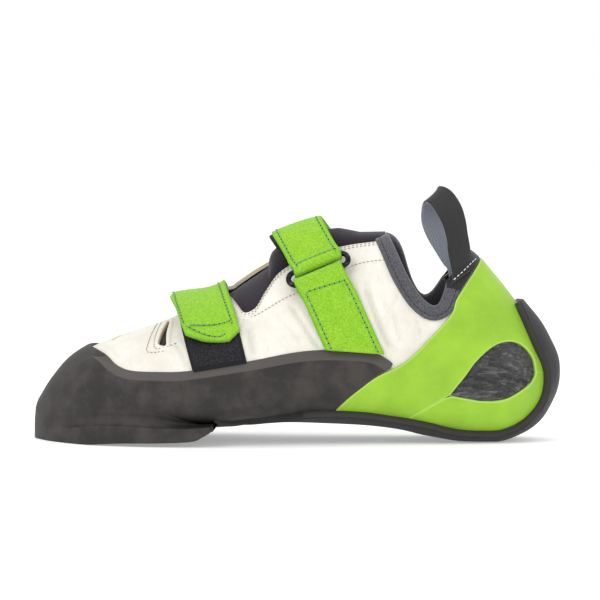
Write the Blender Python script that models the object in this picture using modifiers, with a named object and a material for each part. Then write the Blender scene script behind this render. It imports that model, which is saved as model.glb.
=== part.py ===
"""Climbing shoe for a left foot, modelled over its own last.

The toe points along -X, the heel along +X, the outer (lateral) side along -Y and up is +Z.
Every piece that lies on the shoe is cut from one function, the last, between two distances
from it, so that the pieces nest like the layers of the real shoe. Metres throughout.
"""

import math

import bmesh
import bpy
import numpy as np
from mathutils import Vector

# Main sizes of the last, the foot shape that the upper is pulled over
LENGTH = 0.2549
BALL_WIDTH = 0.0893
INSTEP = 0.1025

# Thicknesses, measured out from the last
WALL = 0.0020
GAP = 0.0003
RUBBER = 0.0018
SOLE_RUBBER = 0.0033
SOLE_OVERHANG = 0.0006
LEATHER_PANEL = 0.0009
TAPE = 0.0015
INSOLE_THICKNESS = 0.0025
TONGUE_THICKNESS = 0.0032

# Collar binding, strap ring and other trim; the binding ends at this share of INSTEP
BINDING_WIDTH = 0.0066
BINDING_THICKNESS = 0.0014
BINDING_END = 0.742
RING_LENGTH = 0.0340
RING_WIDTH = 0.0106
RING_WIRE = 0.0027
TAB_THICKNESS = 0.0018
LOOP_SIZE = 0.0465
LOOP_THICKNESS = 0.0013
BOTTOM_MARGIN = 0.0090
SLIT_WIDTH = 0.0016

# Detail of the faceted solids
STATIONS = 26
SIDES = 22
FINE = 121

# Cutters reach this far past the shoe
REACH = 0.0900

# Sections of the last, from toe tip to back of heel. "along" is a share of LENGTH; bottom and
# top are shares of INSTEP; lateral, medial and crown are shares of BALL_WIDTH. "widest" is the
# share of the section's height where it is widest, and the two powers shape its upper and
# lower halves, from 2 for round towards 4 for square.
LAST_COLUMNS = ("along", "bottom", "top", "lateral", "medial", "crown", "widest", "arch", "floor")
LAST = (
    (0.000, 0.100, 0.140, 0.146, 0.235, 0.190, 0.45, 2.0, 2.2),
    (0.010, 0.092, 0.205, 0.050, 0.308, 0.180, 0.42, 2.1, 2.4),
    (0.032, 0.091, 0.290, -0.073, 0.364, 0.165, 0.40, 2.2, 2.7),
    (0.066, 0.100, 0.386, -0.196, 0.414, 0.150, 0.37, 2.2, 3.0),
    (0.110, 0.116, 0.454, -0.320, 0.452, 0.130, 0.34, 2.2, 3.2),
    (0.174, 0.118, 0.515, -0.409, 0.477, 0.110, 0.31, 2.1, 3.3),
    (0.253, 0.112, 0.585, -0.482, 0.489, 0.080, 0.28, 1.95, 3.4),
    (0.331, 0.112, 0.678, -0.511, 0.473, 0.055, 0.24, 1.8, 3.4),
    (0.410, 0.136, 0.808, -0.495, 0.428, 0.035, 0.21, 1.65, 3.3),
    (0.488, 0.153, 0.930, -0.450, 0.381, 0.020, 0.20, 1.65, 3.2),
    (0.566, 0.146, 0.990, -0.405, 0.354, 0.010, 0.20, 1.85, 3.2),
    (0.645, 0.134, 1.010, -0.370, 0.343, 0.000, 0.21, 2.3, 3.2),
    (0.712, 0.112, 1.018, -0.356, 0.340, 0.000, 0.24, 2.8, 3.2),
    (0.763, 0.082, 0.985, -0.349, 0.340, 0.000, 0.27, 3.0, 3.2),
    (0.841, 0.053, 0.917, -0.338, 0.336, 0.000, 0.31, 2.9, 3.2),
    (0.892, 0.051, 0.785, -0.320, 0.318, 0.000, 0.35, 2.5, 3.1),
    (0.937, 0.084, 0.641, -0.269, 0.267, 0.000, 0.40, 2.2, 2.9),
    (0.967, 0.133, 0.549, -0.202, 0.202, 0.000, 0.44, 2.1, 2.6),
    (0.988, 0.214, 0.454, -0.123, 0.123, 0.000, 0.48, 2.0, 2.3),
    (1.000, 0.320, 0.358, -0.022, 0.022, 0.000, 0.50, 2.0, 2.0),
)

# Outlines seen from the side: along as a share of LENGTH, height as a share of INSTEP
THROAT_COLUMNS = ("along", "lateral", "medial")
THROAT = (
    (0.351, 0.745, 0.755), (0.379, 0.704, 0.742), (0.392, 0.672, 0.765), (0.408, 0.632, 0.793),
    (0.426, 0.652, 0.824), (0.444, 0.722, 0.850), (0.472, 0.817, 0.888), (0.500, 0.863, 0.915),
    (0.539, 0.905, 0.945), (0.593, 0.945, 0.973), (0.640, 0.965, 0.984), (0.705, 0.980, 0.990),
)
COLLAR_LATERAL = (
    (0.686, 0.985), (0.691, 0.960), (0.700, 0.909), (0.713, 0.834), (0.726, 0.774),
    (0.741, 0.718), (0.756, 0.680), (0.771, 0.658), (0.783, 0.668), (0.792, 0.710),
    (0.800, 0.775), (0.821, 0.828),
)
COLLAR_MEDIAL = (
    (0.688, 0.995), (0.698, 0.985), (0.708, 0.950), (0.716, 0.900), (0.724, 0.830),
    (0.734, 0.762), (0.748, 0.702), (0.763, 0.684), (0.778, 0.708), (0.790, 0.750),
    (0.800, 0.790), (0.821, 0.828),
)
COLLAR_BACK = ((0.845, 0.868), (0.872, 0.900))

RAND_TOP = (
    (0.060, 0.400), (0.083, 0.442), (0.098, 0.450), (0.113, 0.445), (0.138, 0.414),
    (0.160, 0.371), (0.188, 0.345), (0.241, 0.341), (0.298, 0.347), (0.412, 0.395),
    (0.522, 0.449), (0.617, 0.454), (0.665, 0.436), (0.702, 0.380),
)
SLING_FRONT = (
    (0.570, 0.140), (0.602, 0.220), (0.631, 0.278), (0.664, 0.336), (0.716, 0.400),
    (0.769, 0.527), (0.805, 0.629), (0.814, 0.695), (0.832, 0.765), (0.868, 0.896),
)
SLING_SEAM = ((0.705, 0.100), (0.754, 0.172), (0.803, 0.242))
WINDOW = (
    (0.803, 0.242), (0.832, 0.331), (0.851, 0.396), (0.874, 0.452), (0.893, 0.482),
    (0.911, 0.494), (0.930, 0.490), (0.949, 0.461), (0.964, 0.410), (0.969, 0.355),
    (0.968, 0.325), (0.956, 0.284), (0.919, 0.228), (0.889, 0.212), (0.859, 0.213),
)
CUP_SEAM_BACK = ((0.969, 0.340), (0.990, 0.330), (1.040, 0.325))
HEEL_RUBBER_BORDER = (
    (0.349, 0.119), (0.362, 0.103), (0.388, 0.095), (0.428, 0.105), (0.504, 0.133),
    (0.524, 0.147), (0.568, 0.152), (0.629, 0.144), (0.690, 0.122), (0.758, 0.093),
    (0.814, 0.056), (0.870, 0.045), (0.908, 0.052), (0.945, 0.092), (0.975, 0.163),
    (0.990, 0.237), (0.993, 0.322), (0.987, 0.387), (0.971, 0.471), (0.949, 0.602),
    (0.937, 0.676),
)
SOLE_SEAM = (
    (-0.020, 0.084), (0.039, 0.071), (0.076, 0.080), (0.125, 0.096), (0.178, 0.096),
    (0.241, 0.091), (0.298, 0.090), (0.347, 0.100),
)
SOLE_BOTTOM = (
    (0.347, 0.050), (0.327, 0.036), (0.296, 0.025), (0.178, 0.015), (0.135, 0.008),
    (0.086, 0.000), (0.008, 0.000), (-0.012, 0.030),
)
TAB_LATERAL = (
    (0.270, 0.640), (0.281, 0.602), (0.297, 0.504), (0.328, 0.498), (0.377, 0.509),
    (0.398, 0.561), (0.385, 0.663), (0.363, 0.790),
)
TAB_MEDIAL = (
    (0.270, 0.640), (0.284, 0.560), (0.308, 0.400), (0.402, 0.425), (0.396, 0.560),
    (0.385, 0.663), (0.363, 0.790),
)
STRAP_PATCH = (
    (0.270, 0.640), (0.279, 0.598), (0.308, 0.362), (0.412, 0.405), (0.397, 0.547),
    (0.385, 0.640), (0.372, 0.690),
)
HEEL_PAD = (
    (0.819, 0.722), (0.829, 0.764), (0.864, 0.889), (0.868, 0.930), (0.850, 0.930),
    (0.818, 0.860), (0.797, 0.790), (0.797, 0.752), (0.818, 0.748),
)
SLIT_SIDE = ((0.242, 0.478), (0.241, 0.520), (0.250, 0.575))
SLIT_TOP = ((0.146, 0.470), (0.152, 0.495), (0.170, 0.520))

# Rear strap: for each place across the instep, its front and rear edge as shares of LENGTH,
# and the height of its middle over the last as a share of TONGUE_THICKNESS. "turn" is 0 at
# the crown, 1 at the ring on the lateral side and -1 at the medial end.
STRAP_COLUMNS = ("turn", "front", "rear", "lift")
REAR_STRAP = (
    (-1.00, 0.516, 0.604, 0.75), (-0.75, 0.506, 0.594, 1.05), (-0.50, 0.494, 0.582, 1.55),
    (-0.25, 0.483, 0.569, 2.00), (0.00, 0.477, 0.562, 2.20), (0.25, 0.481, 0.568, 2.00),
    (0.50, 0.489, 0.579, 1.50), (0.72, 0.498, 0.590, 1.05),
)
RING_FRONT = (0.5067, 0.765)
RING_REAR = (0.5985, 0.861)
ANCHOR_FRONT = (0.560, 0.463)
ANCHOR_REAR = (0.674, 0.446)
STRAP_MEDIAL_END = 0.46

# Pull loop: edges of the webbing from its outer foot over the top to its inner foot, as
# shares of LOOP_SIZE from where each edge passes the rim of the heel
LOOP_COLUMNS = ("front_x", "front_z", "rear_x", "rear_z", "inward")
LOOP_FOOT = ((0.802, 0.765), (0.838, 0.823))
LOOP_RIM = ((0.806, 0.800), (0.839, 0.858))
LOOP = (
    (-0.03, 0.25, -0.04, 0.16, -0.06), (-0.02, 0.38, -0.06, 0.30, -0.05),
    (-0.04, 0.52, -0.06, 0.44, -0.01), (-0.10, 0.65, -0.07, 0.59, 0.06),
    (-0.20, 0.75, -0.11, 0.73, 0.16), (-0.24, 0.78, -0.17, 0.79, 0.24),
    (-0.26, 0.72, -0.18, 0.76, 0.32), (-0.26, 0.57, -0.12, 0.56, 0.38),
    (-0.21, 0.41, -0.09, 0.38, 0.36), (-0.13, 0.26, -0.07, 0.24, 0.31),
    (-0.06, 0.13, -0.05, 0.13, 0.25), (-0.01, 0.05, -0.03, 0.05, 0.21),
)

# Colours, roughness and metal of each finish
FINISHES = {
    "white_leather": ((0.84, 0.82, 0.76), 0.55, 0.0),
    "lining": ((0.05, 0.04, 0.05), 0.90, 0.0),
    "rand_rubber": ((0.075, 0.068, 0.064), 0.62, 0.0),
    "sole_rubber": ((0.040, 0.037, 0.036), 0.60, 0.0),
    "green_rubber": ((0.33, 0.58, 0.05), 0.45, 0.0),
    "green_tape": ((0.33, 0.66, 0.08), 0.70, 0.0),
    "black_leather": ((0.012, 0.012, 0.013), 0.30, 0.0),
    "felt": ((0.09, 0.09, 0.10), 0.95, 0.0),
    "webbing": ((0.03, 0.03, 0.03), 0.85, 0.0),
    "loop_pile": ((0.02, 0.02, 0.022), 0.95, 0.0),
    "gunmetal": ((0.10, 0.10, 0.11), 0.30, 0.9),
    "insole_cloth": ((0.10, 0.10, 0.11), 0.90, 0.0),
}


def column(table, columns, name):
    """One named column of a table as an array."""
    return np.array([row[columns.index(name)] for row in table], dtype=float)


def smooth(places, values, wanted):
    """Cubic curve through the values that does not swing past them."""
    places, values, wanted = map(np.asarray, (places, values, wanted))
    steps = np.diff(places)
    slopes = np.diff(values) / steps
    tangents = np.concatenate(([slopes[0]], np.zeros(len(slopes) - 1), [slopes[-1]]))
    for i in range(1, len(slopes)):
        if slopes[i - 1] * slopes[i] > 0:
            weights = (2 * steps[i] + steps[i - 1], steps[i] + 2 * steps[i - 1])
            tangents[i] = sum(weights) / (weights[0] / slopes[i - 1] + weights[1] / slopes[i])
    i = np.clip(np.searchsorted(places, wanted) - 1, 0, len(slopes) - 1)
    t = np.clip((wanted - places[i]) / steps[i], 0, 1)
    return (
        values[i] * (1 + 2 * t) * (1 - t) ** 2
        + values[i + 1] * t * t * (3 - 2 * t)
        + steps[i] * t * (1 - t) * (tangents[i] * (1 - t) - tangents[i + 1] * t)
    )


def eased(along):
    """Spreads the ends of the last, where its sections change fastest."""
    return np.arccos(np.clip(1 - 2 * np.asarray(along, dtype=float), -1, 1)) / math.pi


def last_value(name, along):
    """A column of the last's table at any place along it."""
    return smooth(eased(column(LAST, LAST_COLUMNS, "along")), column(LAST, LAST_COLUMNS, name), eased(along))


def x_at(along):
    return (along - 0.5) * LENGTH


def power(value, exponent):
    return np.sign(value) * np.abs(value) ** exponent


def section(along, count):
    """One closed section: count points evenly spaced from the crown round the lateral side."""
    row = {name: float(last_value(name, along)) for name in LAST_COLUMNS[1:]}
    angle = np.linspace(0, 2 * math.pi, 721)
    across, up = -np.sin(angle), np.cos(angle)
    middle = (row["lateral"] + row["medial"]) / 2 * BALL_WIDTH
    half = (row["medial"] - row["lateral"]) / 2 * BALL_WIDTH
    bottom, top = row["bottom"] * INSTEP, row["top"] * INSTEP
    widest = bottom + row["widest"] * (top - bottom)
    exponent = 2 / np.where(up > 0, row["arch"], row["floor"])
    height = np.where(up > 0, top - widest, widest - bottom)
    z = widest + height * power(up, exponent)
    lean = (row["crown"] * BALL_WIDTH - middle) * np.clip(up, 0, 1) ** 1.5
    y = middle + lean + half * power(across, exponent)
    length = np.concatenate(([0], np.cumsum(np.hypot(np.diff(y), np.diff(z)))))
    wanted = np.linspace(0, length[-1], count, endpoint=False)
    return np.interp(wanted, length, y), np.interp(wanted, length, z)


def last_grid(stations, sides):
    """Points and outward normals of the last, one row for each section."""
    along = (1 - np.cos(np.linspace(0, math.pi, stations))) / 2
    points = np.empty((stations, sides, 3))
    for i, place in enumerate(along):
        points[i, :, 0] = x_at(place)
        points[i, :, 1], points[i, :, 2] = section(place, sides)
    forward = np.gradient(points, axis=0)
    forward[0], forward[-1] = points[1] - points[0], points[-1] - points[-2]
    around = np.roll(points, -1, axis=1) - np.roll(points, 1, axis=1)
    normals = np.cross(around, forward)
    normals /= np.linalg.norm(normals, axis=2, keepdims=True)
    return points, normals


COARSE_GRID = last_grid(STATIONS, SIDES)
FINE_GRID = last_grid(FINE, FINE)


def on_last(along, turn, lift):
    """A point off the last: turn runs from 0 at the crown to 0.5 underneath, minus on the
    medial side."""
    points, normals = FINE_GRID
    row = float(eased(along)) * (FINE - 1)
    side = (turn % 1.0) * FINE
    i, j = min(int(row), FINE - 2), int(side) % FINE
    s, t = row - i, side - int(side)
    k = (j + 1) % FINE
    blend = ((i, j, (1 - s) * (1 - t)), (i + 1, j, s * (1 - t)), (i, k, (1 - s) * t), (i + 1, k, s * t))
    point = sum(points[a, b] * w for a, b, w in blend)
    normal = sum(normals[a, b] * w for a, b, w in blend)
    return Vector(point + normal / np.linalg.norm(normal) * lift)


def turn_at(along, height, medial=False):
    """The turn where the last's side has this height, as a share of INSTEP."""
    y, z = section(along, 720)
    half = z[1:300] if not medial else z[:-300:-1]
    turns = np.arange(1, 1 + len(half)) / 720
    found = float(np.interp(-height * INSTEP, -half, turns))
    return -found if medial else found


def mesh_object(name, verts, faces, collection):
    mesh = bpy.data.meshes.new(name)
    mesh.from_pydata([tuple(v) for v in verts], [], faces)
    mesh.update()
    thing = bpy.data.objects.new(name, mesh)
    collection.objects.link(thing)
    return thing


def skin(name, offset, collection):
    """The closed surface that lies this far outside the last."""
    points, normals = COARSE_GRID
    rings = points + normals * offset
    tips = [points[0].mean(axis=0) - (offset, 0, 0), points[-1].mean(axis=0) + (offset, 0, 0)]
    verts = list(rings.reshape(-1, 3)) + tips
    last_ring, toe, heel = (STATIONS - 1) * SIDES, STATIONS * SIDES, STATIONS * SIDES + 1
    faces = []
    for j in range(SIDES):
        k = (j + 1) % SIDES
        faces += [(toe, j, k), (heel, last_ring + k, last_ring + j)]
        for i in range(0, last_ring, SIDES):
            faces += [(i + j, i + SIDES + j, i + SIDES + k), (i + j, i + SIDES + k, i + k)]
    return turned_out(mesh_object(name, verts, faces, collection))


def turned_out(thing):
    """Makes the faces of a closed mesh point outwards."""
    work = bmesh.new()
    work.from_mesh(thing.data)
    bmesh.ops.recalc_face_normals(work, faces=work.faces)
    work.to_mesh(thing.data)
    work.free()
    return thing


def curve(points, steps=2):
    """Smooth line through a table's points."""
    points = [Vector(p) for p in points]
    ends = [2 * points[0] - points[1]] + points + [2 * points[-1] - points[-2]]
    line = []
    for a, b, c, d in zip(ends, ends[1:], ends[2:], ends[3:]):
        for step in range(steps):
            t = step / steps
            line.append(
                (2 * b + (c - a) * t + (2 * a - 5 * b + 4 * c - d) * t * t
                 + (3 * b - a - 3 * c + d) * t ** 3) / 2
            )
    return [tuple(p) for p in line] + [tuple(points[-1])]


def shifted(line, distance):
    """The side-view line moved sideways, to its left as it runs."""
    scaled = [Vector((x_at(a), h * INSTEP)) for a, h in line]
    moved = []
    for i, point in enumerate(scaled):
        ahead = scaled[min(i + 1, len(scaled) - 1)] - scaled[max(i - 1, 0)]
        aside = Vector((-ahead.y, ahead.x)).normalized() * distance
        spot = point + aside
        moved.append((spot.x / LENGTH + 0.5, spot.y / INSTEP))
    return moved


def prism(name, outline, y_from, y_to, collection):
    """A side-view outline given thickness across the shoe."""
    count = len(outline)
    verts = [(x_at(a), y, h * INSTEP) for y in (y_from, y_to) for a, h in outline]
    faces = [tuple(range(count)), tuple(reversed(range(count, 2 * count)))]
    faces += [(i, i + count, (i + 1) % count + count, (i + 1) % count) for i in range(count)]
    return turned_out(mesh_object(name, verts, faces, collection))


def combine(thing, operation, other):
    """Adds an exact Boolean modifier."""
    step = thing.modifiers.new(operation.lower(), "BOOLEAN")
    step.operation = operation
    step.solver = "EXACT"
    step.object = other
    return thing


def layer(name, inner, outer, region, stage):
    """What lies between two distances from the last, within a region."""
    piece = skin(name, outer, stage["shoe"])
    combine(piece, "INTERSECT", region)
    return combine(piece, "DIFFERENCE", skin(name + "_inside", inner, stage["cutters"]))


def across(name, outline, stage, y_from=-REACH, y_to=REACH):
    return prism(name, outline, y_from, y_to, stage["cutters"])


def ribbon(name, lines, thickness, stage):
    """A strap through lines of equal length, thickened evenly on both sides."""
    verts = [v for row in zip(*lines) for v in row]
    count = len(lines)
    faces = []
    for i in range(len(lines[0]) - 1):
        for j in range(count - 1):
            a, b = count * i + j, count * (i + 1) + j
            faces += [(a, a + 1, b + 1), (a, b + 1, b)]
    piece = mesh_object(name, verts, faces, stage["shoe"])
    shell = piece.modifiers.new("thickness", "SOLIDIFY")
    shell.thickness = thickness
    shell.offset = 0
    return piece


def throat_edges(along):
    """The turns of the throat's lateral and medial edge."""
    places = column(THROAT, THROAT_COLUMNS, "along")
    heights = [
        float(smooth(places, column(THROAT, THROAT_COLUMNS, side), along))
        for side in ("lateral", "medial")
    ]
    return turn_at(along, heights[0]), -turn_at(along, heights[1], True)


def throat_cutter(stage):
    """Block that follows the throat and cuts its edges square to the upper."""
    reach, columns = 4 * WALL, 5
    verts = []
    stations = np.linspace(THROAT[0][0], THROAT[-1][0], 18)
    for lift in (reach, -reach):
        for along in stations:
            lateral, medial = throat_edges(along)
            verts += [on_last(along, turn, lift) for turn in np.linspace(-medial, lateral, columns)]
    rows, layer_size = len(stations), len(stations) * columns
    faces = []
    for i in range(rows - 1):
        for j in range(columns - 1):
            quad = (i * columns + j, i * columns + j + 1, (i + 1) * columns + j + 1, (i + 1) * columns + j)
            faces += [quad, tuple(layer_size + v for v in quad[::-1])]
        for j in (0, columns - 1):
            side = (i * columns + j, (i + 1) * columns + j)
            faces.append(side + (side[1] + layer_size, side[0] + layer_size))
    for j in range(columns - 1):
        for i in (0, rows - 1):
            end = (i * columns + j, i * columns + j + 1)
            faces.append(end + (end[1] + layer_size, end[0] + layer_size))
    return turned_out(mesh_object("throat", verts, faces, stage["cutters"]))


def make_upper(stage):
    """Hollow leather upper, open at throat, collar, slits and underneath."""
    upper = skin("upper", 0, stage["shoe"])
    combine(upper, "DIFFERENCE", skin("upper_inside", -WALL, stage["cutters"]))
    combine(upper, "DIFFERENCE", throat_cutter(stage))
    halves = (
        ("collar_lateral", COLLAR_LATERAL, -REACH, 0.5 * GAP),
        ("collar_medial", COLLAR_MEDIAL, -0.5 * GAP, REACH),
    )
    for name, collar, y_from, y_to in halves:
        line = curve(collar + COLLAR_BACK)
        line += [(line[-1][0], 1.5), (line[0][0], 1.5)]
        combine(upper, "DIFFERENCE", across(name, line, stage, y_from, y_to))
    combine(upper, "DIFFERENCE", plan_prism("bottom_window", -BOTTOM_MARGIN, -0.1, 0.195, stage))
    for name, line, reach in (("slit_side", SLIT_SIDE, (-REACH, -0.1 * BALL_WIDTH)),
                              ("slit_top", SLIT_TOP, (-0.1 * BALL_WIDTH, 0.3 * BALL_WIDTH))):
        path = curve(line)
        outline = shifted(path, SLIT_WIDTH / 2) + shifted(path, -SLIT_WIDTH / 2)[::-1]
        combine(upper, "DIFFERENCE", across(name, outline, stage, *reach))
    return upper


def plan_prism(name, offset, bottom, top, stage):
    """The last's outline from above, grown by an offset, between two heights."""
    points, normals = FINE_GRID
    grown = points + normals * max(offset, 0)
    inset = min(offset, 0)
    lateral, medial = [], []
    for row in grown[::5]:
        low, high = row[row[:, 1].argmin()], row[row[:, 1].argmax()]
        if high[1] - low[1] + 2 * inset > abs(inset) / 2:
            lateral.append((low[0], low[1] - inset))
            medial.append((high[0], high[1] + inset))
    if inset:
        keep = [i for i, (x, y) in enumerate(lateral) if abs(x) < LENGTH / 2 + inset]
        lateral, medial = [lateral[i] for i in keep], [medial[i] for i in keep]
    ring = lateral + medial[::-1]
    count = len(ring)
    verts = [(x, y, h * INSTEP) for h in (bottom, top) for x, y in ring]
    faces = [tuple(range(count)), tuple(reversed(range(count, 2 * count)))]
    faces += [(i, i + count, (i + 1) % count + count, (i + 1) % count) for i in range(count)]
    return turned_out(mesh_object(name, verts, faces, stage["cutters"]))


def make_insole(stage):
    """Footbed that lies on the turned-in margin of the upper."""
    rise = (WALL + GAP + INSOLE_THICKNESS) / INSTEP
    places = np.linspace(0.02, 0.98, 24)
    outline = [(float(a), float(last_value("bottom", a)) + rise) for a in places]
    outline += [(places[-1], -0.2), (places[0], -0.2)]
    insole = skin("insole", -WALL - 2 * GAP, stage["shoe"])
    return combine(insole, "INTERSECT", across("insole_slab", outline, stage))


def make_tongue(stage):
    """Padded tongue: its edges lie under the throat's edges and its middle swells through."""
    front, back = 0.300, 0.655
    under = -(WALL + 4 * GAP)
    rows = []
    for along in np.linspace(front, back, 13):
        open_here = along > THROAT[1][0]
        lateral, medial = throat_edges(along) if open_here else (0.03, 0.03)
        swell = TONGUE_THICKNESS * float(np.interp(along, (0.375, 0.43, 0.48, 0.64), (-0.7, 0.9, 1.6, 0.6)))
        flat = swell <= 0 or not open_here
        swell, slope = (under, under) if flat else (swell, 0.6 * swell)
        spread = (
            (-1, 0.050, under), (-1, 0.022, under), (-1, -0.002, under), (-1, -0.014, slope),
            (0, 0, swell), (1, -0.014, slope), (1, -0.002, under), (1, 0.022, under), (1, 0.050, under),
        )
        row = []
        for side, more, lift in spread:
            reach = (medial if side < 0 else lateral) + more
            turn = side * max(reach, 0.001) if side else (lateral - medial) / 2
            row.append(on_last(along, turn, lift))
        rows.append(row)
    count = len(rows[0])
    verts = [v for row in rows for v in row]
    faces = [
        (i * count + j, i * count + j + 1, (i + 1) * count + j + 1, (i + 1) * count + j)
        for i in range(len(rows) - 1) for j in range(count - 1)
    ]
    tongue = mesh_object("tongue", verts, faces, stage["shoe"])
    shell = tongue.modifiers.new("thickness", "SOLIDIFY")
    shell.thickness = TONGUE_THICKNESS
    top = max(tongue.data.polygons, key=lambda face: face.center.z)
    shell.offset = -1 if top.normal.z > 0 else 1
    return tongue


def make_binding(side, collar, stage):
    """Felt strip folded over the collar's edge, on one side of the shoe."""
    y_from, y_to = (-REACH, -0.02 * BALL_WIDTH) if side == "lateral" else (0.02 * BALL_WIDTH, REACH)
    dip = min(collar, key=lambda row: row[1])[0]
    line = [p for p in curve(collar[1:]) if p[0] < dip or p[1] < BINDING_END]
    outer = GAP + BINDING_THICKNESS
    strip = shifted(line, outer) + shifted(line, outer - BINDING_WIDTH)[::-1]
    region = across("binding_region_" + side, strip, stage, y_from, y_to)
    binding = layer("collar_binding_" + side, -WALL - outer, outer, region, stage)
    past = 2 * BINDING_WIDTH / LENGTH
    wall_strip = shifted(line, GAP) + [
        (line[-1][0] + past, line[-1][1] + past), (line[-1][0] + past, 0.3),
        (line[0][0] - past, 0.3), (line[0][0] - past, 1.1), (line[0][0], 1.1),
    ]
    wall = skin("binding_wall_" + side, GAP, stage["cutters"])
    combine(wall, "INTERSECT", across("binding_wall_region_" + side, wall_strip, stage))
    combine(wall, "DIFFERENCE", skin("binding_wall_inside_" + side, -WALL - GAP, stage["cutters"]))
    return combine(binding, "DIFFERENCE", wall)


def make_rubber(stage):
    """Rand, heel sling and heel cup: one layer of rubber round the upper."""
    outer = GAP + RUBBER
    low = -0.1
    gap_line = shifted(curve(SLING_FRONT[:5], 2), GAP)
    rand_outline = (
        curve(RAND_TOP)[:-1] + [p for p in gap_line[::-1] if p[0] < RAND_TOP[-1][0]]
        + [(gap_line[0][0], low), (-0.05, low), (-0.05, 0.36)]
    )
    rand = layer("toe_rand", GAP, outer, across("rand_region", rand_outline, stage), stage)
    sling_line = curve(SLING_FRONT, 2)
    seam = curve(SLING_SEAM, 2)
    back = list(CUP_SEAM_BACK)
    sling_outline = (
        [(sling_line[0][0], low)] + sling_line + [(0.880, 0.930), (1.050, 0.900), back[-1]] + back[-2::-1]
        + curve(WINDOW[:10], 2)[::-1][1:] + seam[::-1][1:] + [(seam[0][0], low)]
    )
    sling = layer("heel_sling", GAP, outer, across("sling_region", sling_outline, stage), stage)
    seam_gap = shifted(seam, -GAP)
    cup_outline = (
        [(seam_gap[0][0], low)] + seam_gap[:-1] + [(0.806, 0.238)] + curve(WINDOW[10:], 2)[::-1]
        + shifted(back, -GAP) + [(1.050, low)]
    )
    cup = layer("heel_cup", GAP, outer, across("cup_region", cup_outline, stage), stage)
    return rand, sling, cup


def make_side_pair(name, outline, thickness, stage):
    """The same panel on both sides of the heel."""
    sides = (("lateral", -REACH, -0.02 * BALL_WIDTH), ("medial", 0.02 * BALL_WIDTH, REACH))
    pieces = []
    for side, y_from, y_to in sides:
        region = across(name + "_region_" + side, outline, stage, y_from, y_to)
        pieces.append(layer(name + "_" + side, GAP, GAP + thickness, region, stage))
    return pieces


def make_window_panels(stage):
    """Black leather that shows through the window of the heel rubber."""
    ring = [Vector(p) for p in WINDOW]
    centre = sum(ring, Vector((0, 0))) / len(ring)
    inset = 1 - 3 * GAP / (0.12 * LENGTH)
    outline = [tuple(centre + (p - centre) * inset) for p in ring]
    return make_side_pair("window_panel", outline, LEATHER_PANEL, stage)


def make_soles(stage):
    """Half sole under the forefoot, and the heel rubber from the arch up the back."""
    inner = 2 * GAP + RUBBER
    sole = plan_prism("outsole_front", inner + SOLE_OVERHANG, -0.05, 0.20, stage)
    stage["cutters"].objects.unlink(sole)
    stage["shoe"].objects.link(sole)
    outline = curve(SOLE_SEAM) + list(SOLE_BOTTOM)
    combine(sole, "INTERSECT", across("sole_region", outline, stage))
    combine(sole, "DIFFERENCE", skin("sole_inside", inner, stage["cutters"]))
    border = curve(HEEL_RUBBER_BORDER, 2) + [(0.960, 0.700), (1.100, 0.500), (1.100, 0.0), (0.349, 0.0)]
    region = across("heel_rubber_region", border, stage)
    heel = layer("heel_sole", inner, inner + SOLE_RUBBER, region, stage)
    return sole, heel


def make_front_strap(stage):
    """Closing tab over the forefoot and the pile patch that it presses on."""
    over_crown = 0.02 * BALL_WIDTH
    patch_region = across("patch_region", STRAP_PATCH, stage, -REACH, -over_crown)
    patch = layer("strap_patch", GAP, GAP + TAPE, patch_region, stage)
    tab_region = across("tab_region_lateral", TAB_LATERAL, stage, -REACH, over_crown)
    combine(tab_region, "UNION", across("tab_region_medial", TAB_MEDIAL, stage, -over_crown, REACH))
    inner = 2 * GAP + TAPE + GAP
    tab = layer("front_strap", inner, inner + TAB_THICKNESS, tab_region, stage)
    return patch, tab


def ring_frame(end):
    """Surface point, outward normal and upward girth direction at one end of the ring."""
    along, height = end
    turn = turn_at(along, height)
    spot = on_last(along, turn, 0)
    normal = (on_last(along, turn, 0.01) - spot).normalized()
    up = (on_last(along, turn - 0.01, 0) - spot)
    up = (up - normal * up.dot(normal)).normalized()
    return spot, normal, up


def ring_lift():
    """Height of the ring's wire over the last."""
    return 3 * GAP + 1.5 * TAPE + RING_WIRE / 2 + 0.4 * RING_WIRE


def bar_height():
    """Distance of each long bar of the ring from its middle line."""
    return (RING_WIDTH - RING_WIRE) / 2


def fold_path(frame, upward, tail):
    """Middle line of a tape that comes in along the shoe, round a bar and back out."""
    spot, normal, up = frame
    bar = upward * bar_height()
    radius = RING_WIRE / 2 + 2 * GAP + TAPE / 2
    path = []
    for degrees in (-90, -135, 180, 135, 90):
        angle = math.radians(degrees)
        beside = bar + upward * radius * math.cos(angle)
        path.append(spot + up * beside + normal * (ring_lift() + radius * math.sin(angle)))
    return [spot + up * (bar + upward * tail) + normal * (ring_lift() - radius)] + path


def make_rear_strap(stage):
    """Tape over the instep: from the medial side down to the ring, round it and back."""
    frames = (ring_frame(RING_FRONT), ring_frame(RING_REAR))
    places = ("front", "rear")
    step = TAPE + GAP
    edges = []
    for frame, place, ring_end in zip(frames, places, (RING_FRONT, RING_REAR)):
        ring_turn = turn_at(*ring_end)
        inner, outer = [], []
        for row in REAR_STRAP:
            values = dict(zip(STRAP_COLUMNS, row))
            turn = values["turn"] * (ring_turn if values["turn"] > 0 else STRAP_MEDIAL_END * ring_turn / 0.5)
            lift = values["lift"] * TONGUE_THICKNESS + TAPE
            inner.append(on_last(values[place], turn, lift))
            if values["turn"] > -1:
                outer.append(on_last(values[place], turn, lift + step))
        edges.append(inner + fold_path(frame, 1, 0.4 * RING_WIDTH)[1:] + outer[::-1])
    return ribbon("rear_strap", edges, TAPE, stage)


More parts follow.
